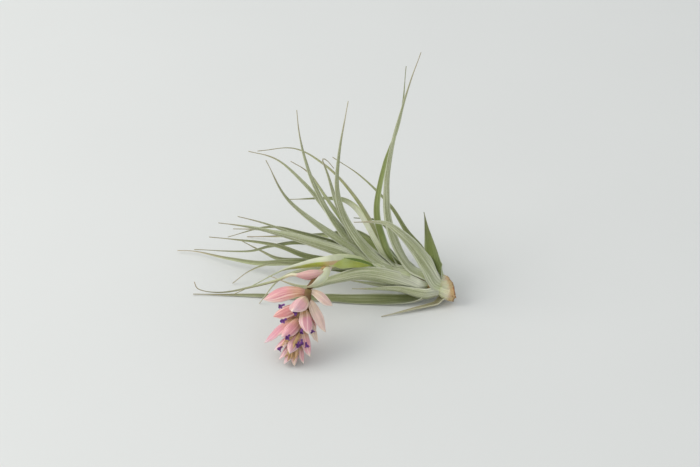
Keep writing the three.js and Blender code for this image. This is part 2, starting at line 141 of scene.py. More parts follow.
class NodeMaker:
    """Adds nodes and links to one node tree, of a material or of a modifier."""

    def __init__(self, tree: bpy.types.NodeTree) -> None:
        """Keeps the tree."""
        self.tree = tree

    def add(self, kind: str, settings: dict | None = None, values: dict | None = None, out: str = "") -> Link:
        """Adds one node.

        Args:
            kind: The node's type.
            settings: Properties of the node, which are set first. A ramp's stops go under "stops".
            values: What its input sockets hold or are linked to, by name or by place in the list.
            out: The output to return, or the first one.

        Returns:
            The link to that output.
        """
        node = self.tree.nodes.new(kind)
        for name, value in (settings or {}).items():
            if name == "stops":
                self._set_stops(node.color_ramp, value)
            else:
                setattr(node, name, value)
        for key, value in (values or {}).items():
            self._fill(self._input(node, key), value)
        return self.output(node, out)

    def output(self, node: bpy.types.Node, name: str = "") -> Link:
        """The link to a node's output, by name, or to its first one."""
        fits = (socket for socket in node.outputs if socket.enabled and name in ("", socket.name))
        return Link(self, next(fits, None))

    def maths(self, operation: str, first: Term, second: Term) -> Link:
        """One sum of two terms, with vector maths where one of them is a vector.

        Args:
            operation: The name of the Math node's operation.
            first: The first term.
            second: The second term.

        Returns:
            The result's link.
        """
        pair = (first, second)
        vectors = [t for t in pair if isinstance(t, Link) and t.socket.type == "VECTOR"]
        if not vectors:
            return self.add("ShaderNodeMath", {"operation": operation}, dict(enumerate(pair)))
        if operation == "MULTIPLY" and len(vectors) == 1:
            scale = second if vectors[0] is first else first
            return self.add("ShaderNodeVectorMath", {"operation": "SCALE"}, {0: vectors[0], "Scale": scale})
        return self.add("ShaderNodeVectorMath", {"operation": operation}, dict(enumerate(pair)))

    def step(self, value: Term, low: float, high: float) -> Link:
        """A smooth step of a link, from 0 at low to 1 at high."""
        settings = {"interpolation_type": "SMOOTHSTEP"}
        return self.add("ShaderNodeMapRange", settings, {"Value": value, "From Min": low, "From Max": high})

    def vector(self, x: Term, y: Term, z: Term) -> Link:
        """A vector from three terms."""
        return self.add("ShaderNodeCombineXYZ", None, {0: x, 1: y, 2: z})

    def split(self, vector: Link) -> tuple[Link, Link, Link]:
        """The three parts of a vector."""
        parts = self.add("ShaderNodeSeparateXYZ", None, {0: vector})
        return parts, parts.other("Y"), parts.other("Z")

    def noise(self, place: Link, scale: float, detail: float = 2.0, roughness: float = 0.5) -> Link:
        """Smooth noise about 0.5 at a place."""
        values = {"Vector": place, "Scale": scale, "Detail": detail, "Roughness": roughness}
        return self.add("ShaderNodeTexNoise", {"noise_dimensions": "3D"}, values)

    def blend(self, share: Term, first: Given, second: Given) -> Link:
        """A mix of two colours, by the share of the second."""
        settings = {"data_type": "RGBA", "clamp_factor": True}
        return self.add("ShaderNodeMix", settings, {"Factor": share, "A": first, "B": second})

    def ramp(self, share: Link, stops: Sequence[tuple[float, "Pigment"]]) -> Link:
        """A colour that changes along a share from 0 to 1, through stops of place and pigment."""
        return self.add("ShaderNodeValToRGB", {"stops": stops}, {0: share})

    def _fill(self, socket: bpy.types.NodeSocket, value: Given) -> None:
        """Links or sets one input socket.

        Args:
            socket: The input socket.
            value: A link to its value, or the value itself.
        """
        if isinstance(value, Link):
            self.tree.links.new(value.socket, socket)
        else:
            socket.default_value = value

    @staticmethod
    def _input(node: bpy.types.Node, key: int | str) -> bpy.types.NodeSocket:
        """An input by its place, or the first one of that name that is in use.

        Args:
            node: The node that has the input.
            key: The input's place or its name.

        Returns:
            The input socket.
        """
        if isinstance(key, int):
            return node.inputs[key]
        return next(socket for socket in node.inputs if socket.enabled and socket.name == key)

    @staticmethod
    def _set_stops(ramp: bpy.types.ColorRamp, stops: Sequence[tuple[float, "Pigment"]]) -> None:
        """Gives a ramp its stops, with soft steps between them.

        Args:
            ramp: The ramp.
            stops: Each stop's place along the ramp and its pigment.
        """
        ramp.interpolation = "EASE"
        while len(ramp.elements) < len(stops):
            ramp.elements.new(1.0)
        for element, (place, pigment) in zip(ramp.elements, stops):
            element.position = place
            element.color = pigment.rgba


# ---------------------------------------------------------------------------------------------------
# Finishes
# ---------------------------------------------------------------------------------------------------


class Pigment(Enum):
    """The plain colours that the finishes are mixed from."""

    SILVER = "cfd1ba"
    SAGE = "abb182"
    SAP = "7a863e"
    MOSS = "617a1e"
    OLIVE = "71744a"
    DEEP_LIME = "8a983f"
    YELLOW_LIME = "aeb842"
    LIME = "bac772"
    PALE_LIME = "ccd3a0"
    CREAM_LIME = "d9dcb8"
    CREAM = "ddd8b4"
    STRAW = "b5a583"
    UMBER = "6b5238"
    RUST = "a8683a"
    BARK = "8a7058"
    ROSE = "e4a1ac"
    FUCHSIA = "dd8ba2"
    SALMON = "db8d89"
    BLUSH = "efc4bb"
    PAPERY = "e1cebb"
    SHELL = "f3e2cf"
    DUSKY_PINK = "dba9a2"
    PINK_TAN = "d8b498"
    TAN = "c9a874"
    STALK_OLIVE = "83702f"
    NECK = "6b4a26"
    LILAC = "d9b8cf"
    VIOLET = "83389c"
    DARK_VIOLET = "4f1765"
    FLOOR = "dfe0dd"

    @property
    def rgba(self) -> tuple[float, float, float, float]:
        """The colour in the linear values that nodes hold.

        Returns:
            Red, green, blue and a full alpha.
        """
        parts = [int(self.value[i : i + 2], 16) / 255 for i in (0, 2, 4)]
        red, green, blue = (c / 12.92 if c <= 0.04045 else ((c + 0.055) / 1.055) ** 2.4 for c in parts)
        return red, green, blue, 1.0


Stops = tuple[tuple[float, Pigment], ...]


@dataclass(frozen=True)
class BladeFinish:
    """The finish of a blade, which has an outer and an inner face, veins and a dusting of scales.

    Attributes:
        name: The material's name.
        outer: Colours of the outer face, from the root to the tip.
        inner: Colours of the inner face.
        flank_shade_and_tone: Colours of the broad bands that run along one side of the blade more than the
            other. On leaves they are painted shade, the darker half of a channelled blade; on bracts they are
            partly the bract's own colour.
        flank_shade_and_tone_share: How much of those colours the bands take.
        edge: Colour of the margins.
        edge_share: How much of that colour the margins take.
        second: The colour that blades take by their first tint.
        third: The colour that blades take by their second tint.
        dust: Colour of the scales, and how much they cover.
        veins: How strongly the lengthwise veins show.
        vein_count: How many veins lie across the blade.
        roughness: How rough the surface is.
        sheen: How much of the soft sheen of fine hairs it has.
        glow: How much light passes into it.
        relief: Height of the veins and scales, in millimetres.
        flank_side: How much the bands keep to one side of the blade, which on leaves is the side painted in
            shade.
        streak: Colour of the fine streaks along the blade.
        streak_share: How much of that colour they take.
    """

    name: str
    outer: Stops
    inner: Stops
    flank_shade_and_tone: Stops
    flank_shade_and_tone_share: float
    edge: Pigment
    edge_share: float
    second: Pigment
    third: Pigment
    dust: tuple[Pigment, float]
    veins: float
    vein_count: float
    roughness: float
    sheen: float
    glow: float
    relief: float
    flank_side: float = 0.3
    streak: Pigment = Pigment.SILVER
    streak_share: float = 0.0

    def material(self) -> bpy.types.Material:
        """Builds the material.

        Returns:
            The material, which reads the attributes that the blade tree stores.
        """
        material = bpy.data.materials.new(self.name)
        material.use_nodes = True
        material.node_tree.nodes.clear()
        maker = NodeMaker(material.node_tree)
        across, share, face = maker.split(read(maker, "blade"))
        second, third, seed = maker.split(read(maker, "tint"))
        reach = read(maker, "reach", "Fac")
        place = maker.add("ShaderNodeTexCoord", out="Object")

        flow = maker.vector(across * self.vein_count * 0.5, reach * 30.0, seed * 7.0)
        vein = maker.noise(flow, 1.0, 3.0, 0.6)
        band = maker.noise(maker.vector(across * 1.7, reach * 9.0, seed * 3.0), 1.0, 2.0)
        cloud = maker.noise(place, 260.0, 3.0)
        speck = maker.noise(place, 2600.0, 2.0, 0.7)

        along = share + (cloud - 0.5) * 0.12
        inside = maker.step(face + (cloud - 0.5) * 0.3, -0.12, 0.12)
        colour = maker.blend(inside, maker.ramp(along, self.outer), maker.ramp(along, self.inner))
        # Painted shade: on leaves these bands darken one side of the channelled blade as if that half were
        # shaded; on bracts they are partly the bract's own colour.
        flank_shade_and_tone = maker.step(band - across * self.flank_side, 0.36, 0.62) * self.flank_shade_and_tone_share
        colour = maker.blend(flank_shade_and_tone, colour, maker.ramp(along, self.flank_shade_and_tone))
        # The first tint pulls towards the finish's second colour: on leaves partly their own darker tone and
        # partly painted shade, on the strip along a stalk bract's margin painted shadow, elsewhere the part's
        # own colour.
        colour = maker.blend(second * maker.step(cloud + second, 0.2, 0.9), colour, self.second.rgba)
        colour = maker.blend(third * maker.step(cloud + third, 0.35, 0.95), colour, self.third.rgba)
        streak = maker.step(vein, 0.5, 0.64) * self.streak_share * (1.0 - inside * 0.6)
        colour = maker.blend(streak, colour, self.streak.rgba)
        margin = maker.step(maker.add("ShaderNodeMath", {"operation": "ABSOLUTE"}, {0: across}), 0.8, 1.0)
        colour = maker.blend(margin * self.edge_share, colour, self.edge.rgba)
        scales = maker.step(speck, 0.42, 0.72) * (1.0 - inside * 0.75)
        colour = maker.blend(scales * self.dust[1], colour, self.dust[0].rgba)
        bright = 1.0 + (vein - 0.5) * self.veins * 2.0 + (cloud - 0.5) * 0.22
        colour = maker.add("ShaderNodeHueSaturation", None, {"Value": bright, "Color": colour})

        height = vein * 0.8 + speck * 0.5
        bump = maker.add(
            "ShaderNodeBump", None, {"Strength": 0.6, "Distance": self.relief * MM, "Height": height}
        )
        rough = self.roughness + (speck - 0.5) * 0.2
        shader = maker.add(
            "ShaderNodeBsdfPrincipled",
            {"subsurface_method": "RANDOM_WALK"},
            {
                "Base Color": colour,
                "Roughness": rough,
                "Normal": bump,
                "Sheen Weight": self.sheen,
                "Sheen Roughness": 0.6,
                "Subsurface Weight": self.glow,
                "Subsurface Radius": (0.8, 1.0, 0.5),
                "Subsurface Scale": 0.6 * MM,
            },
        )
        maker.add("ShaderNodeOutputMaterial", None, {"Surface": shader})
        return material


def read(maker: NodeMaker, name: str, out: str = "Vector") -> Link:
    """One attribute of the mesh, as a vector or as its first value."""
    return maker.add("ShaderNodeAttribute", {"attribute_name": name}, out=out)


LEAF_FINISH = BladeFinish(
    name="silvery_leaf",
    outer=(
        (0.0, Pigment.PALE_LIME),
        (0.08, Pigment.SILVER),
        (0.35, Pigment.SAGE),
        (0.8, Pigment.SAGE),
        (0.95, Pigment.STRAW),
    ),
    inner=(
        (0.0, Pigment.LIME),
        (0.12, Pigment.SAP),
        (0.4, Pigment.SAP),
        (0.75, Pigment.SAGE),
        (0.95, Pigment.STRAW),
    ),
    # painted shade: the darker greens and umber stand for the shaded half of each channelled blade
    flank_shade_and_tone=((0.0, Pigment.LIME), (0.12, Pigment.SAP), (0.7, Pigment.OLIVE), (0.95, Pigment.UMBER)),
    flank_shade_and_tone_share=0.6,
    edge=Pigment.SILVER,
    edge_share=0.7,
    # dark green that leaves take by their first tint, partly their own tone and partly painted shade
    second=Pigment.OLIVE,
    third=Pigment.STRAW,
    dust=(Pigment.SILVER, 0.5),
    veins=0.7,
    vein_count=15.0,
    roughness=0.72,
    sheen=0.25,
    glow=0.08,
    relief=0.12,
    streak=Pigment.SILVER,
    streak_share=0.55,
)

# Painted light: paler silvery and lime colours stand for light shining through a thin leaf that would
# otherwise sit in shade.
PAINTED_LIGHT_LEAF_FINISH = replace(
    LEAF_FINISH,
    name="painted_light_leaf",
    outer=((0.0, Pigment.PALE_LIME), (0.3, Pigment.SILVER), (0.8, Pigment.SILVER), (1.0, Pigment.STRAW)),
    inner=((0.0, Pigment.PALE_LIME), (0.5, Pigment.SILVER), (0.8, Pigment.SAGE), (1.0, Pigment.STRAW)),
    flank_shade_and_tone=((0.0, Pigment.LIME), (0.4, Pigment.PALE_LIME), (1.0, Pigment.SAGE)),
)

FRESH_LEAF_FINISH = replace(
    LEAF_FINISH,
    name="fresh_leaf",
    outer=(
        (0.0, Pigment.LIME), (0.12, Pigment.SAGE), (0.3, Pigment.SAP), (0.7, Pigment.SAGE),
        (1.0, Pigment.STRAW),
    ),
    inner=((0.0, Pigment.LIME), (0.1, Pigment.SAP), (0.5, Pigment.SAP), (1.0, Pigment.OLIVE)),
    # painted shade: these darker greens stand for the shaded half of each channelled blade
    flank_shade_and_tone=((0.0, Pigment.DEEP_LIME), (0.12, Pigment.MOSS), (0.7, Pigment.SAP), (1.0, Pigment.OLIVE)),
    dust=(Pigment.SILVER, 0.28),
    streak_share=0.3,
)

LIME_BRACT_FINISH = BladeFinish(
    name="lime_bract",
    outer=(
        (0.0, Pigment.DEEP_LIME),
        (0.3, Pigment.YELLOW_LIME),
        (0.6, Pigment.LIME),
        (0.85, Pigment.YELLOW_LIME),
        (1.0, Pigment.PALE_LIME),
    ),
    inner=((0.0, Pigment.DEEP_LIME), (0.8, Pigment.DEEP_LIME), (1.0, Pigment.LIME)),
    flank_shade_and_tone=((0.0, Pigment.DEEP_LIME), (0.5, Pigment.YELLOW_LIME), (1.0, Pigment.LIME)),
    flank_shade_and_tone_share=0.4,
    edge=Pigment.CREAM_LIME,
    edge_share=0.3,
    # dark moss, which only the painted shadow strip along the margin takes
    second=Pigment.MOSS,
    third=Pigment.CREAM,
    dust=(Pigment.SILVER, 0.15),
    veins=0.16,
    vein_count=16.0,
    roughness=0.55,
    sheen=0.1,
    glow=0.15,
    relief=0.08,
)

LONG_BRACT_FINISH = replace(
    LIME_BRACT_FINISH,
    name="long_leafy_bract",
    outer=(
        (0.0, Pigment.LIME),
        (0.12, Pigment.PALE_LIME),
        (0.4, Pigment.CREAM_LIME),
        (0.6, Pigment.SILVER),
        (0.85, Pigment.SAGE),
        (1.0, Pigment.STRAW),
    ),
    inner=((0.0, Pigment.LIME), (0.4, Pigment.PALE_LIME), (0.7, Pigment.SAGE), (1.0, Pigment.STRAW)),
    flank_shade_and_tone=(
        (0.0, Pigment.LIME),
        (0.28, Pigment.YELLOW_LIME),
        (0.34, Pigment.TAN),
        (0.42, Pigment.TAN),
        (0.48, Pigment.YELLOW_LIME),
        (0.56, Pigment.YELLOW_LIME),
        (0.66, Pigment.SAGE),
        (1.0, Pigment.OLIVE),
    ),
    flank_shade_and_tone_share=1.0,
    flank_side=0.7,
    edge=Pigment.CREAM_LIME,
    edge_share=0.4,
)

CREAM_BRACT_FINISH = replace(
    LIME_BRACT_FINISH,
    name="cream_bract",
    outer=(
        (0.0, Pigment.PALE_LIME),
        (0.08, Pigment.CREAM),
        (0.4, Pigment.CREAM_LIME),
        (0.6, Pigment.SILVER),
        (1.0, Pigment.STRAW),
    ),
    inner=((0.0, Pigment.CREAM), (0.5, Pigment.PALE_LIME), (1.0, Pigment.STRAW)),
    flank_shade_and_tone=((0.0, Pigment.PALE_LIME), (0.12, Pigment.LILAC), (0.3, Pigment.PALE_LIME), (1.0, Pigment.SAGE)),
    flank_shade_and_tone_share=0.6,
    edge=Pigment.CREAM,
    edge_share=0.5,
)

PINK_LEAFY_FINISH = replace(
    LIME_BRACT_FINISH,
    name="pink_based_bract",
    outer=(
        (0.0, Pigment.PINK_TAN),
        (0.06, Pigment.DUSKY_PINK),
        (0.17, Pigment.DUSKY_PINK),
        (0.24, Pigment.CREAM),
        (0.32, Pigment.SAGE),
        (0.8, Pigment.OLIVE),
        (1.0, Pigment.STRAW),
    ),
    inner=((0.0, Pigment.BLUSH), (0.3, Pigment.PALE_LIME), (0.6, Pigment.SAGE), (1.0, Pigment.STRAW)),
    flank_shade_and_tone=(
        (0.0, Pigment.PINK_TAN),
        (0.08, Pigment.ROSE),
        (0.18, Pigment.ROSE),
        (0.25, Pigment.CREAM),
        (0.4, Pigment.OLIVE),
        (1.0, Pigment.UMBER),
    ),
    flank_shade_and_tone_share=0.6,
    edge=Pigment.SHELL,
    edge_share=0.3,
    veins=0.35,
    streak=Pigment.SHELL,
    streak_share=0.3,
)

FLOWER_BRACT_FINISH = BladeFinish(
    name="flower_bract",
    outer=(
        # dark brown at the root: partly the bracts' own tan base, partly painted shade where the bracts
        # overlap
        (0.0, Pigment.NECK),
        (0.12, Pigment.STALK_OLIVE),
        (0.22, Pigment.TAN),
        (0.36, Pigment.PINK_TAN),
        (0.5, Pigment.ROSE),
        (0.84, Pigment.ROSE),
        (1.0, Pigment.SHELL),
    ),
    inner=((0.0, Pigment.TAN), (0.3, Pigment.SHELL), (0.6, Pigment.BLUSH), (1.0, Pigment.SHELL)),
    # the dark brown root of these bands is likewise partly painted shade between the bracts
    flank_shade_and_tone=(
        (0.0, Pigment.NECK), (0.2, Pigment.TAN), (0.38, Pigment.SALMON), (0.6, Pigment.FUCHSIA),
        (1.0, Pigment.LILAC),
    ),
    flank_shade_and_tone_share=0.65,
    edge=Pigment.SHELL,
    edge_share=0.5,
    second=Pigment.SALMON,
    third=Pigment.PAPERY,
    dust=(Pigment.SHELL, 0.2),
    veins=0.45,
    vein_count=11.0,
    roughness=0.55,
    sheen=0.08,
    glow=0.2,
    relief=0.12,
    streak=Pigment.SHELL,
    streak_share=0.5,
)

PAPERY_TIP_FINISH = replace(
    FLOWER_BRACT_FINISH,
    name="papery_tip",
    outer=((0.0, Pigment.NECK), (0.4, Pigment.TAN), (0.75, Pigment.PAPERY), (1.0, Pigment.RUST)),
    inner=((0.0, Pigment.NECK), (0.5, Pigment.TAN), (1.0, Pigment.PAPERY)),
    flank_shade_and_tone=((0.0, Pigment.NECK), (0.6, Pigment.RUST), (1.0, Pigment.TAN)),
    edge=Pigment.TAN,
    third=Pigment.TAN,
    dust=(Pigment.RUST, 0.3),
    streak=Pigment.RUST,
)

STALK_FINISH = BladeFinish(
    name="flower_stalk",
    outer=(
        (0.0, Pigment.LIME), (0.5, Pigment.PALE_LIME), (0.72, Pigment.TAN), (0.82, Pigment.STALK_OLIVE),
        (1.0, Pigment.NECK),
    ),
    inner=(
        (0.0, Pigment.LIME), (0.5, Pigment.PALE_LIME), (0.72, Pigment.TAN), (0.82, Pigment.STALK_OLIVE),
        (1.0, Pigment.NECK),
    ),
    flank_shade_and_tone=((0.0, Pigment.DEEP_LIME), (1.0, Pigment.NECK)),
    flank_shade_and_tone_share=0.5,
    edge=Pigment.LIME,
    edge_share=0.0,
    second=Pigment.ROSE,
    third=Pigment.TAN,
    dust=(Pigment.SILVER, 0.1),
    veins=0.22,
    vein_count=10.0,
    roughness=0.55,
    sheen=0.05,
    glow=0.1,
    relief=0.1,
)

AXIS_FINISH = BladeFinish(
    name="head_axis",
    outer=((0.0, Pigment.STALK_OLIVE), (0.12, Pigment.NECK), (0.9, Pigment.STALK_OLIVE), (1.0, Pigment.TAN)),
    inner=((0.0, Pigment.STALK_OLIVE), (0.12, Pigment.NECK), (0.9, Pigment.STALK_OLIVE), (1.0, Pigment.TAN)),
    flank_shade_and_tone=((0.0, Pigment.NECK), (1.0, Pigment.NECK)),
    flank_shade_and_tone_share=0.5,
    edge=Pigment.TAN,
    edge_share=0.0,
    second=Pigment.UMBER,
    third=Pigment.TAN,
    dust=(Pigment.TAN, 0.2),
    veins=0.35,
    vein_count=10.0,
    roughness=0.65,
    sheen=0.0,
    glow=0.0,
    relief=0.15,
)

FLORET_FINISH = BladeFinish(
    name="violet_floret",
    outer=((0.0, Pigment.LILAC), (0.25, Pigment.VIOLET), (0.7, Pigment.VIOLET), (1.0, Pigment.DARK_VIOLET)),
    inner=((0.0, Pigment.VIOLET), (0.5, Pigment.VIOLET), (1.0, Pigment.DARK_VIOLET)),
    flank_shade_and_tone=((0.0, Pigment.VIOLET), (1.0, Pigment.DARK_VIOLET)),
    flank_shade_and_tone_share=0.5,
    edge=Pigment.DARK_VIOLET,
    edge_share=0.2,
    second=Pigment.DARK_VIOLET,
    third=Pigment.VIOLET,
    dust=(Pigment.VIOLET, 0.1),
    veins=0.3,
    vein_count=6.0,
    roughness=0.45,
    sheen=0.1,
    glow=0.1,
    relief=0.05,
)

HEEL_FINISH = BladeFinish(
    name="woody_heel",
    outer=((0.0, Pigment.TAN), (0.05, Pigment.RUST), (0.1, Pigment.TAN), (1.0, Pigment.PALE_LIME)),
    inner=((0.0, Pigment.TAN), (0.05, Pigment.RUST), (0.1, Pigment.TAN), (1.0, Pigment.PALE_LIME)),
    flank_shade_and_tone=((0.0, Pigment.UMBER), (1.0, Pigment.BARK)),
    flank_shade_and_tone_share=0.5,
    edge=Pigment.BARK,
    edge_share=0.0,
    second=Pigment.UMBER,
    third=Pigment.CREAM,
    dust=(Pigment.UMBER, 0.4),
    veins=0.4,
    vein_count=14.0,
    roughness=0.85,
    sheen=0.0,
    glow=0.0,
    relief=0.5,
)

SHEATH_FINISH = BladeFinish(
    name="papery_sheath",
    outer=(
        (0.0, Pigment.UMBER),
        (0.04, Pigment.RUST),
        (0.09, Pigment.TAN),
        (0.22, Pigment.TAN),
        (0.42, Pigment.CREAM),
        (0.8, Pigment.CREAM_LIME),
        (1.0, Pigment.PALE_LIME),
    ),
    inner=((0.0, Pigment.UMBER), (0.1, Pigment.RUST), (0.3, Pigment.TAN), (1.0, Pigment.TAN)),
    flank_shade_and_tone=(
        (0.0, Pigment.RUST), (0.12, Pigment.TAN), (0.34, Pigment.PINK_TAN), (0.5, Pigment.SILVER),
        (1.0, Pigment.SAGE),
    ),
    flank_shade_and_tone_share=0.45,
    edge=Pigment.SILVER,
    edge_share=0.3,
    second=Pigment.SAGE,
    third=Pigment.TAN,
    dust=(Pigment.BARK, 0.25),
    veins=0.4,
    vein_count=12.0,
    roughness=0.75,
    sheen=0.1,
    glow=0.1,
    relief=0.15,
)


# ---------------------------------------------------------------------------------------------------
# Spines and the tree that grows blades along them
# ---------------------------------------------------------------------------------------------------


@dataclass(frozen=True)
class Sweep:
    """How finely blades are grown along their spines, and how irregular they are.

    Attributes:
        rings: Sections along each blade.
        sides: Points round each section.
        ripple: How far a blade wanders off its line, in millimetres.
        ripple_length: Over what length it does so, in millimetres.
        wave: How far its margins wave, in millimetres.
        ragged: How uneven its root end is, in millimetres.
        seed: The start of the irregularities.
    """

    rings: int = 80
    sides: int = 24
    ripple: float = 0.0
    ripple_length: float = 30.0
    wave: float = 0.0
    ragged: float = 0.0
    seed: int = 1


class BladeTree:
    """The Geometry Nodes tree that grows a blade along each spine of a mesh.

    A spine is a line of edges. Its points hold three vectors: side, the way across the blade; form, half
    the width, half the thickness and the depth of the channel as a share of the width; and tint.
    """

    INPUTS = (
        ("Spines", "NodeSocketGeometry"),
        ("Rings", "NodeSocketInt"),
        ("Sides", "NodeSocketInt"),
        ("Ripple", "NodeSocketFloat"),
        ("Ripple Length", "NodeSocketFloat"),
        ("Wave", "NodeSocketFloat"),
        ("Ragged", "NodeSocketFloat"),
        ("Seed", "NodeSocketInt"),
        ("Finish", "NodeSocketMaterial"),
    )
    RISE = 0.35  # share of the channel's depth that lies below the blade's middle line
    GROUND = 0.05 * MM

    def __init__(self) -> None:
        """Builds the tree."""
        self.tree = bpy.data.node_groups.new("blades_on_spines", "GeometryNodeTree")
        self.maker = NodeMaker(self.tree)
        for name, kind in self.INPUTS:
            self.tree.interface.new_socket(name, in_out="INPUT", socket_type=kind)
        self.tree.interface.new_socket("Blades", in_out="OUTPUT", socket_type="NodeSocketGeometry")
        self._build()

    def _attribute(self, name: str, kind: str) -> Link:
        """Reads a named attribute."""
        return self.maker.add("GeometryNodeInputNamedAttribute", {"data_type": kind}, {"Name": name})

    def _store(self, shape: Link, name: str, kind: str, value: Given) -> Link:
        """Stores a named attribute on the points of a shape.

        Args:
            shape: The shape.
            name: The attribute's name.
            kind: Its data type.
            value: What each point holds.

        Returns:
            The shape with the attribute.
        """
        settings = {"data_type": kind, "domain": "POINT"}
        values = {"Geometry": shape, "Name": name, "Value": value}
        return self.maker.add("GeometryNodeStoreNamedAttribute", settings, values)

    def _on_spine(self, spines: Link, name: str, share: Link) -> Link:
        """A vector of the spine that the point belongs to, at a share of the spine's length.

        Args:
            spines: The spines as curves.
            name: The vector attribute to read.
            share: How far along the spine, from 0 to 1.

        Returns:
            The vector there.
        """
        values = {
            "Curves": spines,
            "Value": self._attribute(name, "FLOAT_VECTOR"),
            "Factor": share,
            "Curve Index": self._attribute("piece", "INT"),
        }
        return self.maker.add(
            "GeometryNodeSampleCurve", {"mode": "FACTOR", "data_type": "FLOAT_VECTOR"}, values
        )

    def _tubes(self, spines: Link, rings: Link, sides: Link) -> Link:
        """One plain tube for each spine, which knows the spine's number.

        Args:
            spines: The spines as curves.
            rings: How many segments a tube has along its length.
            sides: How many sides a tube has.

        Returns:
            The tubes as one shape.
        """
        add = self.maker.add
        size = add(
            "GeometryNodeAttributeDomainSize", {"component": "CURVE"}, {"Geometry": spines}, "Spline Count",
        )
        points = add("GeometryNodePoints", None, {"Count": size})
        points = self._store(points, "piece", "INT", add("GeometryNodeInputIndex"))
        tube = add(
            "GeometryNodeMeshCylinder",
            {"fill_type": "TRIANGLE_FAN"},
            {"Vertices": sides, "Side Segments": rings, "Radius": 1.0, "Depth": 1.0},
        )
        copies = add("GeometryNodeInstanceOnPoints", None, {"Points": points, "Instance": tube})
        return add("GeometryNodeRealizeInstances", None, {"Geometry": copies})

    def _build(self) -> None:
        """Lays the nodes out, from the spines to the finished blades."""
        maker, add = self.maker, self.maker.add
        given = add("NodeGroupInput")
        spines = add("GeometryNodeMeshToCurve", None, {"Mesh": given.other("Spines")})
        shape = self._tubes(spines, given.other("Rings"), given.other("Sides"))

        wide, thick, high = maker.split(add("GeometryNodeInputPosition"))
        share = high + 0.5
        shape = self._store(shape, "blade", "FLOAT_VECTOR", maker.vector(wide, share, thick))

        wide, share, thick = maker.split(self._attribute("blade", "FLOAT_VECTOR"))
        spine = self._on_spine(spines, "side", share)
        centre, along = spine.other("Position"), spine.other("Tangent")
        side = add("ShaderNodeVectorMath", {"operation": "NORMALIZE"}, {0: spine})
        inner = add("ShaderNodeVectorMath", {"operation": "CROSS_PRODUCT"}, {0: along, 1: side})
        half, wall, hollow = maker.split(self._on_spine(spines, "form", share))
        tint = self._on_spine(spines, "tint", share)
        length = add(
            "GeometryNodeSampleCurve",
            {"mode": "FACTOR", "data_type": "FLOAT"},
            {
                "Curves": spines,
                "Value": add("GeometryNodeSplineLength"),
                "Factor": 0.5,
                "Curve Index": self._attribute("piece", "INT"),
            },
        )
        reach = share * length

        number = self._attribute("piece", "INT") * 5.3 + given.other("Seed") * 1.7
        freedom = maker.step(share, 0.0, 0.3)
        wander = add(
            "ShaderNodeTexNoise",
            None,
            {
                "Vector": maker.vector(reach / (given.other("Ripple Length") * MM), number, 0.0),
                "Scale": 1.0,
                "Detail": 1.0,
            },
            "Color",
        )
        drift_side, drift_in, _ = maker.split(wander)
        quick = maker.vector(reach / (given.other("Ripple Length") * MM) * 2.6, number, wide * 0.9)
        flutter = maker.noise(quick, 1.0, 1.0) - 0.5
        torn = maker.noise(maker.vector(wide * 3.5, thick * 0.2, number), 1.0, 4.0, 0.7) - 0.5

        sideways = wide * half + (drift_side - 0.5) * freedom * given.other("Ripple") * MM * 2.0
        dish = 2.0 * half * hollow * (wide * wide - self.RISE)
        waving = flutter * wide * wide * freedom * given.other("Wave") * MM * 2.0
        inwards = dish + thick * wall + waving + (drift_in - 0.5) * freedom * given.other("Ripple") * MM * 2.0
        endways = torn * (1.0 - maker.step(share, 0.0, 0.25)) * given.other("Ragged") * MM * 2.0
        place = centre + side * sideways + inner * inwards + along * endways
        x, y, z = maker.split(place)
        above = add("ShaderNodeMath", {"operation": "MAXIMUM"}, {0: z, 1: self.GROUND})
        shape = self._store(shape, "reach", "FLOAT", reach)
        shape = self._store(shape, "tint", "FLOAT_VECTOR", tint)
        shape = add(
            "GeometryNodeSetPosition", None, {"Geometry": shape, "Position": maker.vector(x, y, above)},
        )
        shape = add("GeometryNodeSetShadeSmooth", None, {"Geometry": shape})
        shape = add("GeometryNodeSetMaterial", None, {"Geometry": shape, "Material": given.other("Finish")})
        add("NodeGroupOutput", None, {"Blades": shape}, out="none")

    def settings(self, sweep: Sweep, finish: bpy.types.Material) -> dict[str, object]:
        """The values of the tree's inputs, by the identifiers of its sockets.

        Args:
            sweep: How finely the blades are divided, and how they ripple and wave.
            finish: Their material.

        Returns:
            The value for each identifier.
        """
        values = {
            "Rings": sweep.rings,
            "Sides": sweep.sides,
            "Ripple": sweep.ripple,
            "Ripple Length": sweep.ripple_length,
            "Wave": sweep.wave,
            "Ragged": sweep.ragged,
            "Seed": sweep.seed,
            "Finish": finish,
        }
        return {
            item.identifier: values[item.name]
            for item in self.tree.interface.items_tree
            if item.name in values
        }


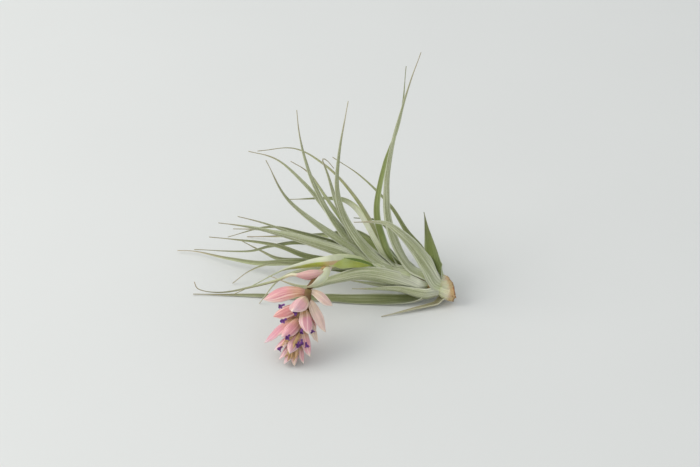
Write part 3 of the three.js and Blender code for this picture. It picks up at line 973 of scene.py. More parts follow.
@dataclass
class Spine:
    """The line that one blade is grown along, and the blade's sizes on it.

    Attributes:
        course: Points of the blade's middle line.
        across: The way across the blade at its root.
        width: Width by share of the length.
        thickness: Thickness by share of the length.
        hollow: Depth of the channel by share of the length, as a share of the width.
        tint: Two shares of the finish's other colours, and a seed.
        twist: How far the blade turns about its own line, in degrees.
    """

    course: Sequence[Vector]
    across: Vector
    width: Profile
    thickness: Profile
    hollow: Profile
    tint: Triple = (0.0, 0.0, 0.0)
    twist: float = 0.0

    COUNT = 72
    PIECES = 24
    TWIST_END = 0.3  # share of the length by which the blade has turned

    def smooth(self) -> list[Vector]:
        """The course as a centripetal curve through its points.

        Returns:
            Points along the curve, close together.
        """
        points = list(self.course)
        ends = [points[0] * 2 - points[1], *points, points[-1] * 2 - points[-2]]
        line = []
        for before, start, end, after in zip(ends, ends[1:], ends[2:], ends[3:]):
            gaps = [
                max((b - a).length, 1e-6) ** 0.5
                for a, b in ((before, start), (start, end), (end, after))
            ]
            out = self._slope(before, start, end, gaps[0], gaps[1], gaps[1])
            into = self._slope(start, end, after, gaps[1], gaps[2], gaps[1])
            for i in range(self.PIECES):
                s = i / self.PIECES
                line.append(
                    start
                    + out * s
                    + (end * 3 - start * 3 - out * 2 - into) * s**2
                    + (start * 2 - end * 2 + out + into) * s**3
                )
        return [*line, points[-1]]

    @staticmethod
    def _slope(a: Vector, b: Vector, c: Vector, before: float, after: float, span: float) -> Vector:
        """The curve's slope at b, between a and c, over a span of its parameter."""
        return ((b - a) / before - (c - a) / (before + after) + (c - b) / after) * span

    def stations(self) -> list[tuple[Vector, Vector, float]]:
        """Evenly spaced places along the curve.

        Returns:
            For each, the place, the way across there and the share of the length.
        """
        line = self.smooth()
        reach = [0.0]
        for a, b in zip(line, line[1:]):
            reach.append(reach[-1] + (b - a).length)
        places, k = [], 0
        for i in range(self.COUNT + 1):
            want = reach[-1] * i / self.COUNT
            while k < len(line) - 2 and reach[k + 1] < want:
                k += 1
            step = reach[k + 1] - reach[k]
            places.append(line[k].lerp(line[k + 1], (want - reach[k]) / step if step else 0.0))
        side = self.across.copy()
        found = []
        for i, place in enumerate(places):
            along = (places[min(i + 1, self.COUNT)] - places[max(i - 1, 0)]).normalized()
            side = (side - along * side.dot(along)).normalized()
            turn = math.radians(self.twist) * ease(0.0, self.TWIST_END, i / self.COUNT)
            found.append((place, Matrix.Rotation(turn, 3, along) @ side, i / self.COUNT))
        return found


class Grower:
    """Grows pieces of the plant from spines, and hands them to the frame."""

    def __init__(self) -> None:
        """Builds the tree that all the pieces share."""
        self.blades = BladeTree()
        self.finishes: dict[str, bpy.types.Material] = {}

    def finish(self, finish: BladeFinish) -> bpy.types.Material:
        """The material of a finish, built once.

        Args:
            finish: The finish.

        Returns:
            Its material.
        """
        if finish.name not in self.finishes:
            self.finishes[finish.name] = finish.material()
        return self.finishes[finish.name]

    def grow(self, name: str, spines: Sequence[Spine], sweep: Sweep, finish: BladeFinish) -> bpy.types.Object:
        """Grows one piece.

        Args:
            name: The piece's name.
            spines: The spines of its blades.
            sweep: How finely and how irregularly the blades are grown.
            finish: Their finish.

        Returns:
            The object, a plain mesh with its place in its vertices.
        """
        mesh = self._spine_mesh(name, spines)
        lines = bpy.data.objects.new(name + "_spines", mesh)
        bpy.context.scene.collection.objects.link(lines)
        modifier = lines.modifiers.new("Blades", "NODES")
        modifier.node_group = self.blades.tree
        for identifier, value in self.blades.settings(sweep, self.finish(finish)).items():
            modifier[identifier] = value
        graph = bpy.context.evaluated_depsgraph_get()
        grown = bpy.data.meshes.new_from_object(
            lines.evaluated_get(graph), preserve_all_data_layers=True, depsgraph=graph
        )
        lines.modifiers.clear()
        bpy.data.objects.remove(lines)
        bpy.data.meshes.remove(mesh)
        grown.name = name
        piece = bpy.data.objects.new(name, grown)
        bpy.context.scene.collection.objects.link(piece)
        return piece

    @staticmethod
    def _spine_mesh(name: str, spines: Sequence[Spine]) -> bpy.types.Mesh:
        """A mesh of lines in metres, whose points hold side, form and tint.

        Args:
            name: The name of the piece.
            spines: The lines that its blades grow along.

        Returns:
            The mesh.
        """
        shift = Vector(HEEL_FROM_ORIGIN)
        points, edges, sides, forms, tints = [], [], [], [], []
        for spine in spines:
            first = len(points)
            for place, side, share in spine.stations():
                points.append((place + shift) * MM)
                sides.extend(side)
                half, wall = spine.width(share) / 2 * MM, spine.thickness(share) / 2 * MM
                forms.extend((half, wall, spine.hollow(share)))
                tints.extend(spine.tint)
            edges.extend((k, k + 1) for k in range(first, len(points) - 1))
        mesh = bpy.data.meshes.new(name + "_spines")
        mesh.from_pydata(points, edges, [])
        for label, values in (("side", sides), ("form", forms), ("tint", tints)):
            mesh.attributes.new(label, "FLOAT_VECTOR", "POINT").data.foreach_set("vector", values)
        return mesh

    @staticmethod
    def hand_over(piece: bpy.types.Object, node: str, slot: str) -> bpy.types.Object:
        """Makes a piece ride on the body and stand for a node.

        Args:
            piece: The finished piece.
            node: The node that it stands for.
            slot: The material slot of its finish. It is not used.

        Returns:
            The same piece.
        """
        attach(piece, BODY)
        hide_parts(node)
        LOG.info("%s: %d faces, stands for %s", piece.name, len(piece.data.polygons), node)
        return piece


# ---------------------------------------------------------------------------------------------------
# Stem and heel
# ---------------------------------------------------------------------------------------------------


def on_stem(along: float, away: float, direction: Vector) -> Vector:
    """A place by its distance from the heel along the stem and out from its axis."""
    return HEEL + GROWTH * along + direction * away


@dataclass
class Stem:
    """The short woody stem, with its cut end and the papery sheaths that wrap it.

    Attributes:
        profile: Distance from the heel, and radius there.
        scar: Depth of the rings that fallen leaves left.
        scar_pitch: Distance from one ring to the next.
        sheath_start: Where the sheaths start, past the cut end, at their longest place.
        slant: How much further back their rim lies on the other side of the heel.
        slant_turn: Turn of the longest place round the stem, in degrees.
        sheath_radius: How far the sheaths lie from the stem's axis.
        sheath_thickness: How thick their paper is.
        sheaths: For each sheath, the turn round the stem (0 front, 90 up, 180 back), where it ends, its
            width, and how much further back it starts.
        scales: The papery scales of one sheath: turn from its middle, how far back it starts, how far out
            it lies, and its width as a share.
    """

    profile: tuple[tuple[float, float], ...] = (
        (0, 3.4), (0.5, 4.2), (3, 5.0), (6, 5.2), (11, 4.2), (20, 3.3), (30, 2.7), (40, 2.2), (49, 1.7),
        (52, 0.4),
    )
    scar: float = 0.28
    scar_pitch: float = 2.1
    sheath_start: float = -2.4
    slant: float = 8.5
    slant_turn: float = -25.0
    sheath_radius: float = 6.0
    sheath_thickness: float = 0.35
    sheaths: tuple[tuple[float, float, float, float], ...] = (
        (15, 7, 12.5, 0), (98, 8, 12.5, 0), (185, 8, 12.5, 0.4),
    )
    scales: tuple[tuple[float, float, float, float], ...] = (
        (0, 0, 0.1, 0.7), (-34, 0.3, 0, 0.62), (34, 0.1, 0.2, 0.62), (-12, 1.0, 0.3, 0.35),
    )
    sweep: Sweep = field(default_factory=lambda: Sweep(rings=150, sides=40, ripple=0.15, ripple_length=9))
    paper: Sweep = field(
        default_factory=lambda: Sweep(
            rings=48, sides=40, ripple=0.25, ripple_length=7, wave=0.5, ragged=1.1, seed=4,
        )
    )

    def radius(self, along: float) -> float:
        """The stem's radius at a distance from the heel.

        Args:
            along: The distance from the heel, in millimetres.

        Returns:
            The radius, in millimetres.
        """
        pairs = zip(self.profile, self.profile[1:])
        (a, low), (b, high) = next((p for p in pairs if along <= p[1][0]), self.profile[-2:])
        return mix(low, high, min(1.0, max(0.0, (along - a) / (b - a))))

    def build(self, grower: Grower) -> list[bpy.types.Object]:
        """Grows the stem and the sheaths.

        Args:
            grower: What grows the pieces.

        Returns:
            The finished objects.
        """
        length = self.profile[-1][0]

        def girth(share: float) -> float:
            """The stem's width at a share of its length, narrower at each ring scar."""
            ring = math.cos(2 * math.pi * share * length / self.scar_pitch)
            return 2 * (self.radius(share * length) - self.scar * max(0.0, ring) ** 3)

        line = [on_stem(length * k / 4, 0, UP) for k in range(5)]
        spine = Spine(line, FRONT, girth, girth, lambda _: 0.0, (0.15, 0.1, 3.0))
        stem = grower.grow("woody_stem", [spine], self.sweep, HEEL_FINISH)
        pieces = [grower.hand_over(stem, "stem", "stem")]
        for number, sheath in enumerate(self.sheaths, 1):
            paper = [self._scale(sheath, scale, number) for scale in self.scales]
            sweep = replace(self.paper, seed=self.paper.seed + 9 * number)
            piece = grower.grow(f"papery_sheath_{number}", paper, sweep, SHEATH_FINISH)
            pieces.append(grower.hand_over(piece, f"dry_sheath_{number}", "sheath"))
        return pieces

    def _scale(
        self,
        sheath: tuple[float, float, float, float],
        scale: tuple[float, float, float, float],
        number: int,
    ) -> Spine:
        """The spine of one papery scale, whose ragged free end stands a little past the cut.

        Args:
            sheath: The sheath, as in the sheaths field.
            scale: The scale's place in it, as in the scales field.
            number: The sheath's number.

        Returns:
            The spine, from the free end to the one under the leaves.
        """
        turn, size, width, set_back = sheath
        shift, back, out, share_of_width = scale
        angle = math.radians(turn + shift)
        away = FRONT * math.cos(angle) + UP * math.sin(angle)
        opposite = angle - math.radians(self.slant_turn)
        first = self.sheath_start + set_back + back + self.slant * (1 - math.cos(opposite)) / 2
        radius = self.sheath_radius + out
        slope = self.slant / 2 * math.sin(opposite) / radius
        lean = angle + slope * 0.35 * (size - first) / radius
        places = [
            on_stem(first, radius, FRONT * math.cos(lean) + UP * math.sin(lean)),
            on_stem(mix(first, size, 0.35), radius - 0.1, away),
            on_stem(mix(first, size, 0.7), radius - 0.6, away),
            on_stem(size, radius - 1.7, away),
        ]
        span = width * share_of_width
        return Spine(
            places,
            GROWTH.cross(away),
            lambda share: span * (mix(0.85, 1.0, ease(0.0, 0.3, share)) - 0.25 * ease(0.4, 1.0, share)),
            lambda share: self.sheath_thickness,
            lambda share: 0.26,
            (abs(shift) / 120.0, 0.1 * number, number + shift),
        )


# ---------------------------------------------------------------------------------------------------
# Leaves
# ---------------------------------------------------------------------------------------------------


@dataclass(frozen=True)
class Leaf:
    """One leaf of the rosette.

    Attributes:
        at: How far along the stem it starts.
        width: Its width at the base.
        course: Points of its middle line.
        twist: How far the blade turns about its own line above the base, in degrees.
        roll: Roll of the blade about the stem's line, in degrees.
        olive_and_shade: How far it is darkened towards its finish's second colour, partly its own darker tone
            and partly painted shade where the leaf lies in shade.
        dry: How far it is dry and straw-coloured.
        belly: How much fuller it is half way up, as a share.
        finish: Its finish.
    """

    at: float
    width: float
    course: tuple[Triple, ...]
    twist: float = 0.0
    roll: float = 0.0
    olive_and_shade: float = 0.0
    dry: float = 0.0
    belly: float = 0.0
    finish: BladeFinish = LEAF_FINISH


@dataclass
class Rosette:
    """The thirty leaves, from the heel up.

    Attributes:
        leaves: The leaves.
        root_depth: How far back inside the stem a leaf starts.
        root_away: How far out from the stem's axis that is, as a share of the stem's radius.
        hug_length: How far up the stem the leaf still hugs it.
        hug_clear: How far its middle line is then off the stem.
        linear_share: Share of the width that stays until the tip.
        taper: How fast the rest narrows.
        clasp: How much wider the clasping base is.
        clasp_length: Over what length the clasp fades.
        root_share: Width of the very root, as a share.
        root_length: Over what length the root widens.
        base_thickness: Thickness at the base.
        tip_thickness: Thickness at the tip.
        tip_width: Width at the tip.
        channel: Depth of the channel at the base, as a share of the width.
        tip_channel: Depth of the channel near the tip, whose margins roll in.
    """

    leaves: tuple[Leaf, ...]
    root_depth: float = 2.0
    root_away: float = 0.4
    hug_length: float = 4.0
    hug_clear: float = 1.1
    linear_share: float = 0.12
    taper: float = 1.2
    clasp: float = 0.4
    clasp_length: float = 14.0
    root_share: float = 0.45
    root_length: float = 7.0
    base_thickness: float = 1.3
    tip_thickness: float = 0.4
    tip_width: float = 0.5
    channel: float = 0.24
    tip_channel: float = 0.36

    def spine(self, leaf: Leaf, number: int, stem: Stem) -> Spine:
        """The spine of one leaf.

        Args:
            leaf: The leaf.
            number: Its number from the heel.
            stem: The stem that it grows on.

        Returns:
            The spine, from inside the stem to the tip.
        """
        course = [Vector(point) for point in leaf.course]
        first = course[0] - HEEL
        away = (first - GROWTH * first.dot(GROWTH)).normalized()
        root, hug = leaf.at - self.root_depth, leaf.at + self.hug_length
        points = [
            on_stem(root, self.root_away * stem.radius(root), away),
            on_stem(hug, stem.radius(hug) + self.hug_clear, away),
            *course,
        ]
        length = sum((b - a).length for a, b in zip(points, points[1:]))

        def width(share: float) -> float:
            """The leaf's width at a share of its length.

            Args:
                share: How far along the leaf, from 0 to 1.

            Returns:
                The width, in millimetres.
            """
            fall = mix((1 - share) ** self.taper, math.sqrt(1 - share), self.linear_share)
            reach = share * length
            clasp = mix(self.root_share, 1, min(1, reach / self.root_length))
            clasp += self.clasp * math.exp(-reach / self.clasp_length)
            full = 1 + leaf.belly * math.sin(math.pi * share)
            return max(leaf.width * fall * clasp * full, self.tip_width)

        return Spine(
            points,
            Matrix.Rotation(math.radians(leaf.roll), 3, GROWTH) @ GROWTH.cross(away),
            width,
            lambda share: mix(self.base_thickness, self.tip_thickness, math.sqrt(share)),
            lambda share: mix(self.channel, self.tip_channel, ease(0.2, 0.9, share)),
            (leaf.olive_and_shade, leaf.dry, float(number)),
            leaf.twist,
        )

    def build(self, grower: Grower, stem: Stem) -> list[bpy.types.Object]:
        """Grows every leaf.

        Args:
            grower: What grows the pieces.
            stem: The stem that the leaves grow on.

        Returns:
            The finished objects, one for each leaf.
        """
        pieces = []
        for number, leaf in enumerate(self.leaves, 1):
            spine = self.spine(leaf, number, stem)
            sweep = Sweep(rings=96, sides=28, ripple=0.35, ripple_length=26, wave=0.25, seed=number)
            piece = grower.grow(f"leaf_blade_{number:02d}", [spine], sweep, leaf.finish)
            pieces.append(grower.hand_over(piece, f"leaf_{number:02d}", "leaf"))
        return pieces


LEAVES = (
    Leaf(
        4, 12, ((-9, 11, 13), (-11, 18, 21), (-13, 24, 29), (-15, 30, 38)), twist=70, roll=-35, belly=0.45,
        finish=FRESH_LEAF_FINISH,
    ),
    Leaf(
        0.2, 6,
        ((-8.6, -6.1, 1.9), (-12.9, -7.8, 1.7), (-20, -10.2, 1.6), (-26.6, -12.3, 1.2), (-39, -16, 0.5)),
        roll=-40, olive_and_shade=0.2, dry=0.6,
    ),
    Leaf(
        6, 10, ((-13, -2, 24), (-21, -2, 37), (-29, -1, 46), (-37, 2, 50), (-54, 7, 47)), twist=-25,
        belly=0.35,
    ),
    Leaf(
        8, 10, ((-19, -2, 1.8), (-45, -2, 1), (-73, 0, 0.9), (-101, 2, 0.8), (-143, 4, 0.7)), twist=-45,
        olive_and_shade=0.4,
    ),
    Leaf(5.5, 9, ((-15, -5, 6.5), (-30, -3, 9), (-45, -4, 10), (-55, -5, 11)), twist=25, olive_and_shade=0.25),
    Leaf(
        10, 5.4,
        (
            (-10.5, 12, 14.2), (-16, 24, 17.2), (-23.8, 35, 21.2), (-32.6, 45.5, 31), (-50, 62, 41),
            (-66, 71, 48),
        ),
        twist=25, olive_and_shade=0.4,
    ),
    Leaf(
        13, 8,
        ((-23, 5, 19), (-34, 13, 40), (-36, 21, 61), (-33, 30, 81), (-24.5, 45, 109), (-18, 56, 124)),
        twist=-45,
    ),
    Leaf(
        14, 7.4,
        ((-22, -1, 10.6), (-39.7, -1, 16.5), (-50, -2.5, 19), (-66, -7, 18), (-80, -13, 18), (-100, -9, 23)),
        twist=35, belly=0.95,
    ),
    Leaf(
        15, 7, ((-28, 18, 17), (-31, 31, 17.5), (-35.5, 40.5, 20.5), (-41, 44, 23), (-54, 42, 26)),
        twist=15, finish=FRESH_LEAF_FINISH,
    ),
    Leaf(16, 8.5, ((-23, 0, 8), (-40, 1, 9), (-59, 2, 12)), twist=40),
    Leaf(
        17, 9,
        (
            (-37, 9, 10), (-64, 14, 11.7), (-86, 18, 11.8), (-107, 24, 7), (-125, 32, 4.6), (-146, 43, 2.2),
            (-155, 44, 1.9),
        ),
    ),
    Leaf(
        19, 7.5,
        ((-33, 11, 22), (-38, 18.5, 29.5), (-41, 26, 42), (-37, 41, 60), (-28, 57, 83), (-25, 73, 106)),
        twist=45, finish=FRESH_LEAF_FINISH,
    ),
    Leaf(21, 8.5, ((-35, 24, 14), (-53, 39, 18), (-65, 43, 14), (-82, 50, 8), (-116, 60, 0.4))),
    Leaf(22, 9, ((-37, 6, 20), (-54, 11, 38), (-62, 16, 57), (-62, 23, 78), (-57, 35, 106)), twist=-38),
    Leaf(
        24, 10, ((-37, 21, 20), (-52, 47, 29), (-59, 51, 32), (-69, 50, 34), (-90, 44, 37)), twist=25,
        # painted light: coloured paler as if lit through
        finish=PAINTED_LIGHT_LEAF_FINISH,
    ),
    Leaf(
        27, 5, ((-39, 22, 26), (-52, 41, 39), (-67, 55, 50), (-87, 64, 58), (-108, 60, 59)), twist=25,
        dry=0.3,
    ),
    Leaf(
        28, 6.5,
        (
            (-51, 10.8, 13.4), (-66, 12.8, 13.3), (-84, 14.5, 13.7), (-101, 16, 12.5), (-112.4, 15.5, 7.7),
            (-121.7, 14, 0.6),
        ),
        olive_and_shade=0.3,
    ),
    Leaf(30, 8.5, ((-48, 15, 26), (-67, 32, 43), (-79, 44, 55), (-89, 48, 60)), twist=32),
    Leaf(
        32, 9, ((-48, 10, 26), (-61, 20, 45), (-68, 31, 62), (-71, 36, 69), (-69, 36, 68), (-65, 34, 64)),
        twist=-37,
    ),
    Leaf(34, 8.5, ((-51, 12, 26), (-67, 23, 42), (-81, 33, 55), (-97, 41, 66), (-112, 44, 69)), twist=-45),
    Leaf(
        35, 8,
        ((-51, 13.2, 13.2), (-66, 18.2, 11), (-84, 23, 9.3), (-96, 27, 8), (-106, 36, 7), (-119, 43, 10)),
        olive_and_shade=0.6,
    ),
    Leaf(37, 9, ((-48, 9, 24), (-64, 16, 41), (-76, 26, 61), (-83, 37, 81), (-85, 46, 94)), twist=-28),
    Leaf(
        38, 5.5, ((-53, 11, 22), (-81, 18, 26), (-101, 25.2, 18.2), (-112, 28, 13), (-144, 32, 11)),
        twist=22, olive_and_shade=0.4,
    ),
    Leaf(40, 8, ((-50, 8, 26), (-72, 12, 41), (-91, 16, 58), (-101, 19, 79)), twist=-30),
    Leaf(
        41, 6,
        ((-51, 3, 19), (-67, 1, 20.8), (-80.6, -2, 21.6), (-88.7, -3, 19.6), (-96, -4, 15), (-106, -4, 0.3)),
        olive_and_shade=0.3,
    ),
    Leaf(43, 6, ((-51, 9, 17.7), (-77, 15.4, 17.1), (-98, 22.4, 21.1), (-135, 30, 21)), olive_and_shade=0.4),
    Leaf(44, 7, ((-59, 10, 26), (-85, 18, 31), (-103, 22, 36), (-118, 24, 39)), twist=-35, olive_and_shade=0.2),
    Leaf(46, 5.5, ((-56, 12, 26), (-84, 25, 28), (-100, 29, 29), (-125, 36, 17)), twist=38, olive_and_shade=0.4),
    Leaf(47, 7, ((-56, 8, 26), (-83, 11, 35), (-104, 13, 38), (-120, 15, 37)), twist=-25, olive_and_shade=0.1),
    Leaf(48, 8.5, ((-59, 4, 29), (-83, 4, 38), (-104, 5, 44), (-127, 5, 48)), olive_and_shade=0.2),
)


# ---------------------------------------------------------------------------------------------------
# Flower stalk and its bracts
# ---------------------------------------------------------------------------------------------------


@dataclass(frozen=True)
class StalkBract:
    """One leafy bract on the stalk.

    Attributes:
        finish: Its finish.
        width: Width of its sheathing part at the widest.
        peak: Where that is, as a share of the length.
        waist: Where the sheathing part ends.
        awn: Width of the long narrow tip, at its start.
        across: The way across it at the root.
        course: Points of its middle line.
        shadow_strip: Points of a dark strip along its margin that paints the shadow in the gap under its
            rolled edge, if it has one.
    """

    finish: BladeFinish
    width: float
    peak: float
    waist: float
    awn: float
    across: Triple
    course: tuple[Triple, ...]
    shadow_strip: tuple[Triple, ...] = ()


@dataclass
class Stalk:
    """The stalk that arches over from the crown and nods, with the bracts that clasp it.

    Attributes:
        course: Points of its middle line.
        base_radius: Its radius at the crown.
        tip_radius: Its radius at the head.
        bracts: The bracts, from the crown on.
        root_share: Width of a bract's root, as a share.
        taper: How suddenly the sheathing part narrows.
        awn_taper: How suddenly the tip narrows.
        base_thickness: Thickness of a bract at its root.
        tip_thickness: Thickness of a bract at its tip.
        tip_width: Width of the very tip.
        shadow_strip_width: Width of the dark strip along a bract's margin, a painted shadow.
        channel: Depth of a bract's channel.
    """

    bracts: tuple[StalkBract, ...]
    course: tuple[Triple, ...] = (
        (-44, 6, 17), (-52, 3, 23), (-59, -3, 28), (-67, -15, 34), (-72, -25, 36), (-77.5, -35, 34),
    )
    base_radius: float = 2.2
    tip_radius: float = 1.6
    root_share: float = 0.55
    taper: float = 1.5
    awn_taper: float = 0.7
    base_thickness: float = 0.9
    tip_thickness: float = 0.4
    tip_width: float = 0.5
    shadow_strip_width: float = 1.7
    channel: float = 0.28

    def _bract_spine(self, bract: StalkBract, number: int) -> Spine:
        """The spine of one bract.

        Args:
            bract: The bract.
            number: Its number on the stalk.

        Returns:
            The spine.
        """

        def width(share: float) -> float:
            """The bract's width at a share of its length.

            Args:
                share: How far along the bract, from 0 to 1.

            Returns:
                The width, in millimetres.
            """
            rise = mix(self.root_share, 1.0, ease(0.0, bract.peak, share))
            past = min(1.0, max(0.0, (share - bract.peak) / (bract.waist - bract.peak)))
            awn = bract.awn * (1 - share) ** self.awn_taper
            return max(bract.width * rise * (1 - past**self.taper), awn, self.tip_width)

        return Spine(
            [Vector(point) for point in bract.course],
            Vector(bract.across),
            width,
            lambda share: mix(self.base_thickness, self.tip_thickness, share),
            lambda share: self.channel,
            (0.0, 0.0, float(number)),
        )

    def _shadow_strip_spine(self, bract: StalkBract) -> Spine:
        """The spine of the dark strip along a bract's margin, which paints the shadow in the gap under its
        edge.

        Args:
            bract: The bract that has the strip.

        Returns:
            The spine.
        """
        return Spine(
            [Vector(point) for point in bract.shadow_strip],
            Vector(bract.across),
            lambda share: max(self.shadow_strip_width * math.sin(math.pi * share), 0.3),
            lambda share: self.tip_thickness,
            lambda share: 0.2,
            # first tint 1: the strip takes the finish's second colour in full, dark moss as painted shadow
            (1.0, 0.0, 2.0),
        )

    def build(self, grower: Grower) -> list[bpy.types.Object]:
        """Grows the stalk and its bracts.

        Args:
            grower: What grows the pieces.

        Returns:
            The finished objects.
        """

        def girth(share: float) -> float:
            """The stalk's width at a share of its length."""
            return 2 * mix(self.base_radius, self.tip_radius, share)

        course = [Vector(point) for point in self.course]
        spine = Spine(course, Vector((0, 0, 1)), girth, girth, lambda _: 0.0)
        stalk = grower.grow("nodding_stalk", [spine], Sweep(rings=70, sides=28, ripple=0.2), STALK_FINISH)
        pieces = [grower.hand_over(stalk, "flower_stalk", "stalk")]
        for number, bract in enumerate(self.bracts, 1):
            sweep = Sweep(rings=80, sides=28, ripple=0.3, ripple_length=18, wave=0.4, seed=40 + number)
            spines = [self._bract_spine(bract, number)]
            if bract.shadow_strip:
                spines.append(self._shadow_strip_spine(bract))
            piece = grower.grow(f"leafy_bract_{number}", spines, sweep, bract.finish)
            pieces.append(grower.hand_over(piece, f"stalk_bract_{number}", "stalk_bract"))
        return pieces


STALK_BRACTS = (
    StalkBract(
        LIME_BRACT_FINISH,
        6.4,
        0.62,
        1.0,
        0.8,
        (0, 0.6, 0.8),
        (
            (-42.3, 4.1, 18.4), (-46.3, 1.5, 22.8), (-52.3, -0.5, 25.4), (-58.3, -6.5, 29.9),
            (-63, -14, 34.7),
            (-67.2, -19.5, 37.1),
        ),
        # dark strip along the margin: painted shadow of the gap under the bract's rolled edge
        ((-59.3, -9, 34.8), (-54.5, -5.5, 31.4), (-50.2, -3.5, 28.7), (-46.3, -2, 26), (-41.9, 0.5, 21.8)),
    ),
    StalkBract(
        LONG_BRACT_FINISH,
        6.8,
        0.33,
        0.74,
        1.7,
        (0, 0.6, 0.8),
        (
            (-42.9, 6, 19.1), (-50.6, 3, 24.4), (-58.8, -4, 30.1), (-63, -11.5, 34.9), (-67.2, -18.5, 39.1),
            (-74.6, -19, 38.7), (-82.5, -20.5, 37.9), (-90.2, -22, 36.9), (-98, -24, 34.1),
            (-104.3, -25, 30.6),
            (-117.2, -26, 23.6),
        ),
    ),
    StalkBract(
        CREAM_BRACT_FINISH,
        5.6,
        0.3,
        1.0,
        0.8,
        (-0.69, 0.41, 0.59),
        (
            (-66, -13, 33.6), (-68, -20.5, 35.8), (-69.6, -28, 36.8), (-72.6, -34.2, 37.7),
            (-76.2, -39.5, 38.9), (-80, -42, 39.6),
        ),
    ),
    StalkBract(
        PINK_LEAFY_FINISH,
        5.6,
        0.11,
        0.23,
        2.1,
        (0, 0.6, 0.8),
        (
            (-70.6, -25.5, 37.5), (-73.9, -29, 38.8), (-77.8, -30, 38.6), (-82.3, -30, 38.6),
            (-87.1, -29, 38.2),
            (-94.8, -28, 33.9), (-108.4, -28, 29.4), (-122.1, -28, 26.2), (-128.9, -28, 26.2),
            (-133.5, -28, 27),
            (-137.1, -27, 28.1), (-138.5, -26, 31.4),
        ),
    ),
)


# ---------------------------------------------------------------------------------------------------
# Flower head
# ---------------------------------------------------------------------------------------------------


@dataclass(frozen=True)
class HeadBract:
    """One bract of the head.

    Attributes:
        start: Distance from the head's top.
        turn: Turn round the head's axis, in degrees (0 right, 90 front, 180 left, 270 back).
        spread: Angle from the axis, in degrees.
        length: Its length.
        width: Its width.
        roll: Roll about its own line, in degrees.
        salmon: How far it is salmon, and not rose.
        papery: How far it is dry and tan.
    """

    start: float
    turn: float
    spread: float
    length: float
    width: float
    roll: float = 0.0
    salmon: float = 0.3
    papery: float = 0.0


@dataclass(frozen=True)
class Floret:
    """One violet floret: distance from the head's top, turn, spread and length."""

    start: float
    turn: float
    spread: float
    length: float


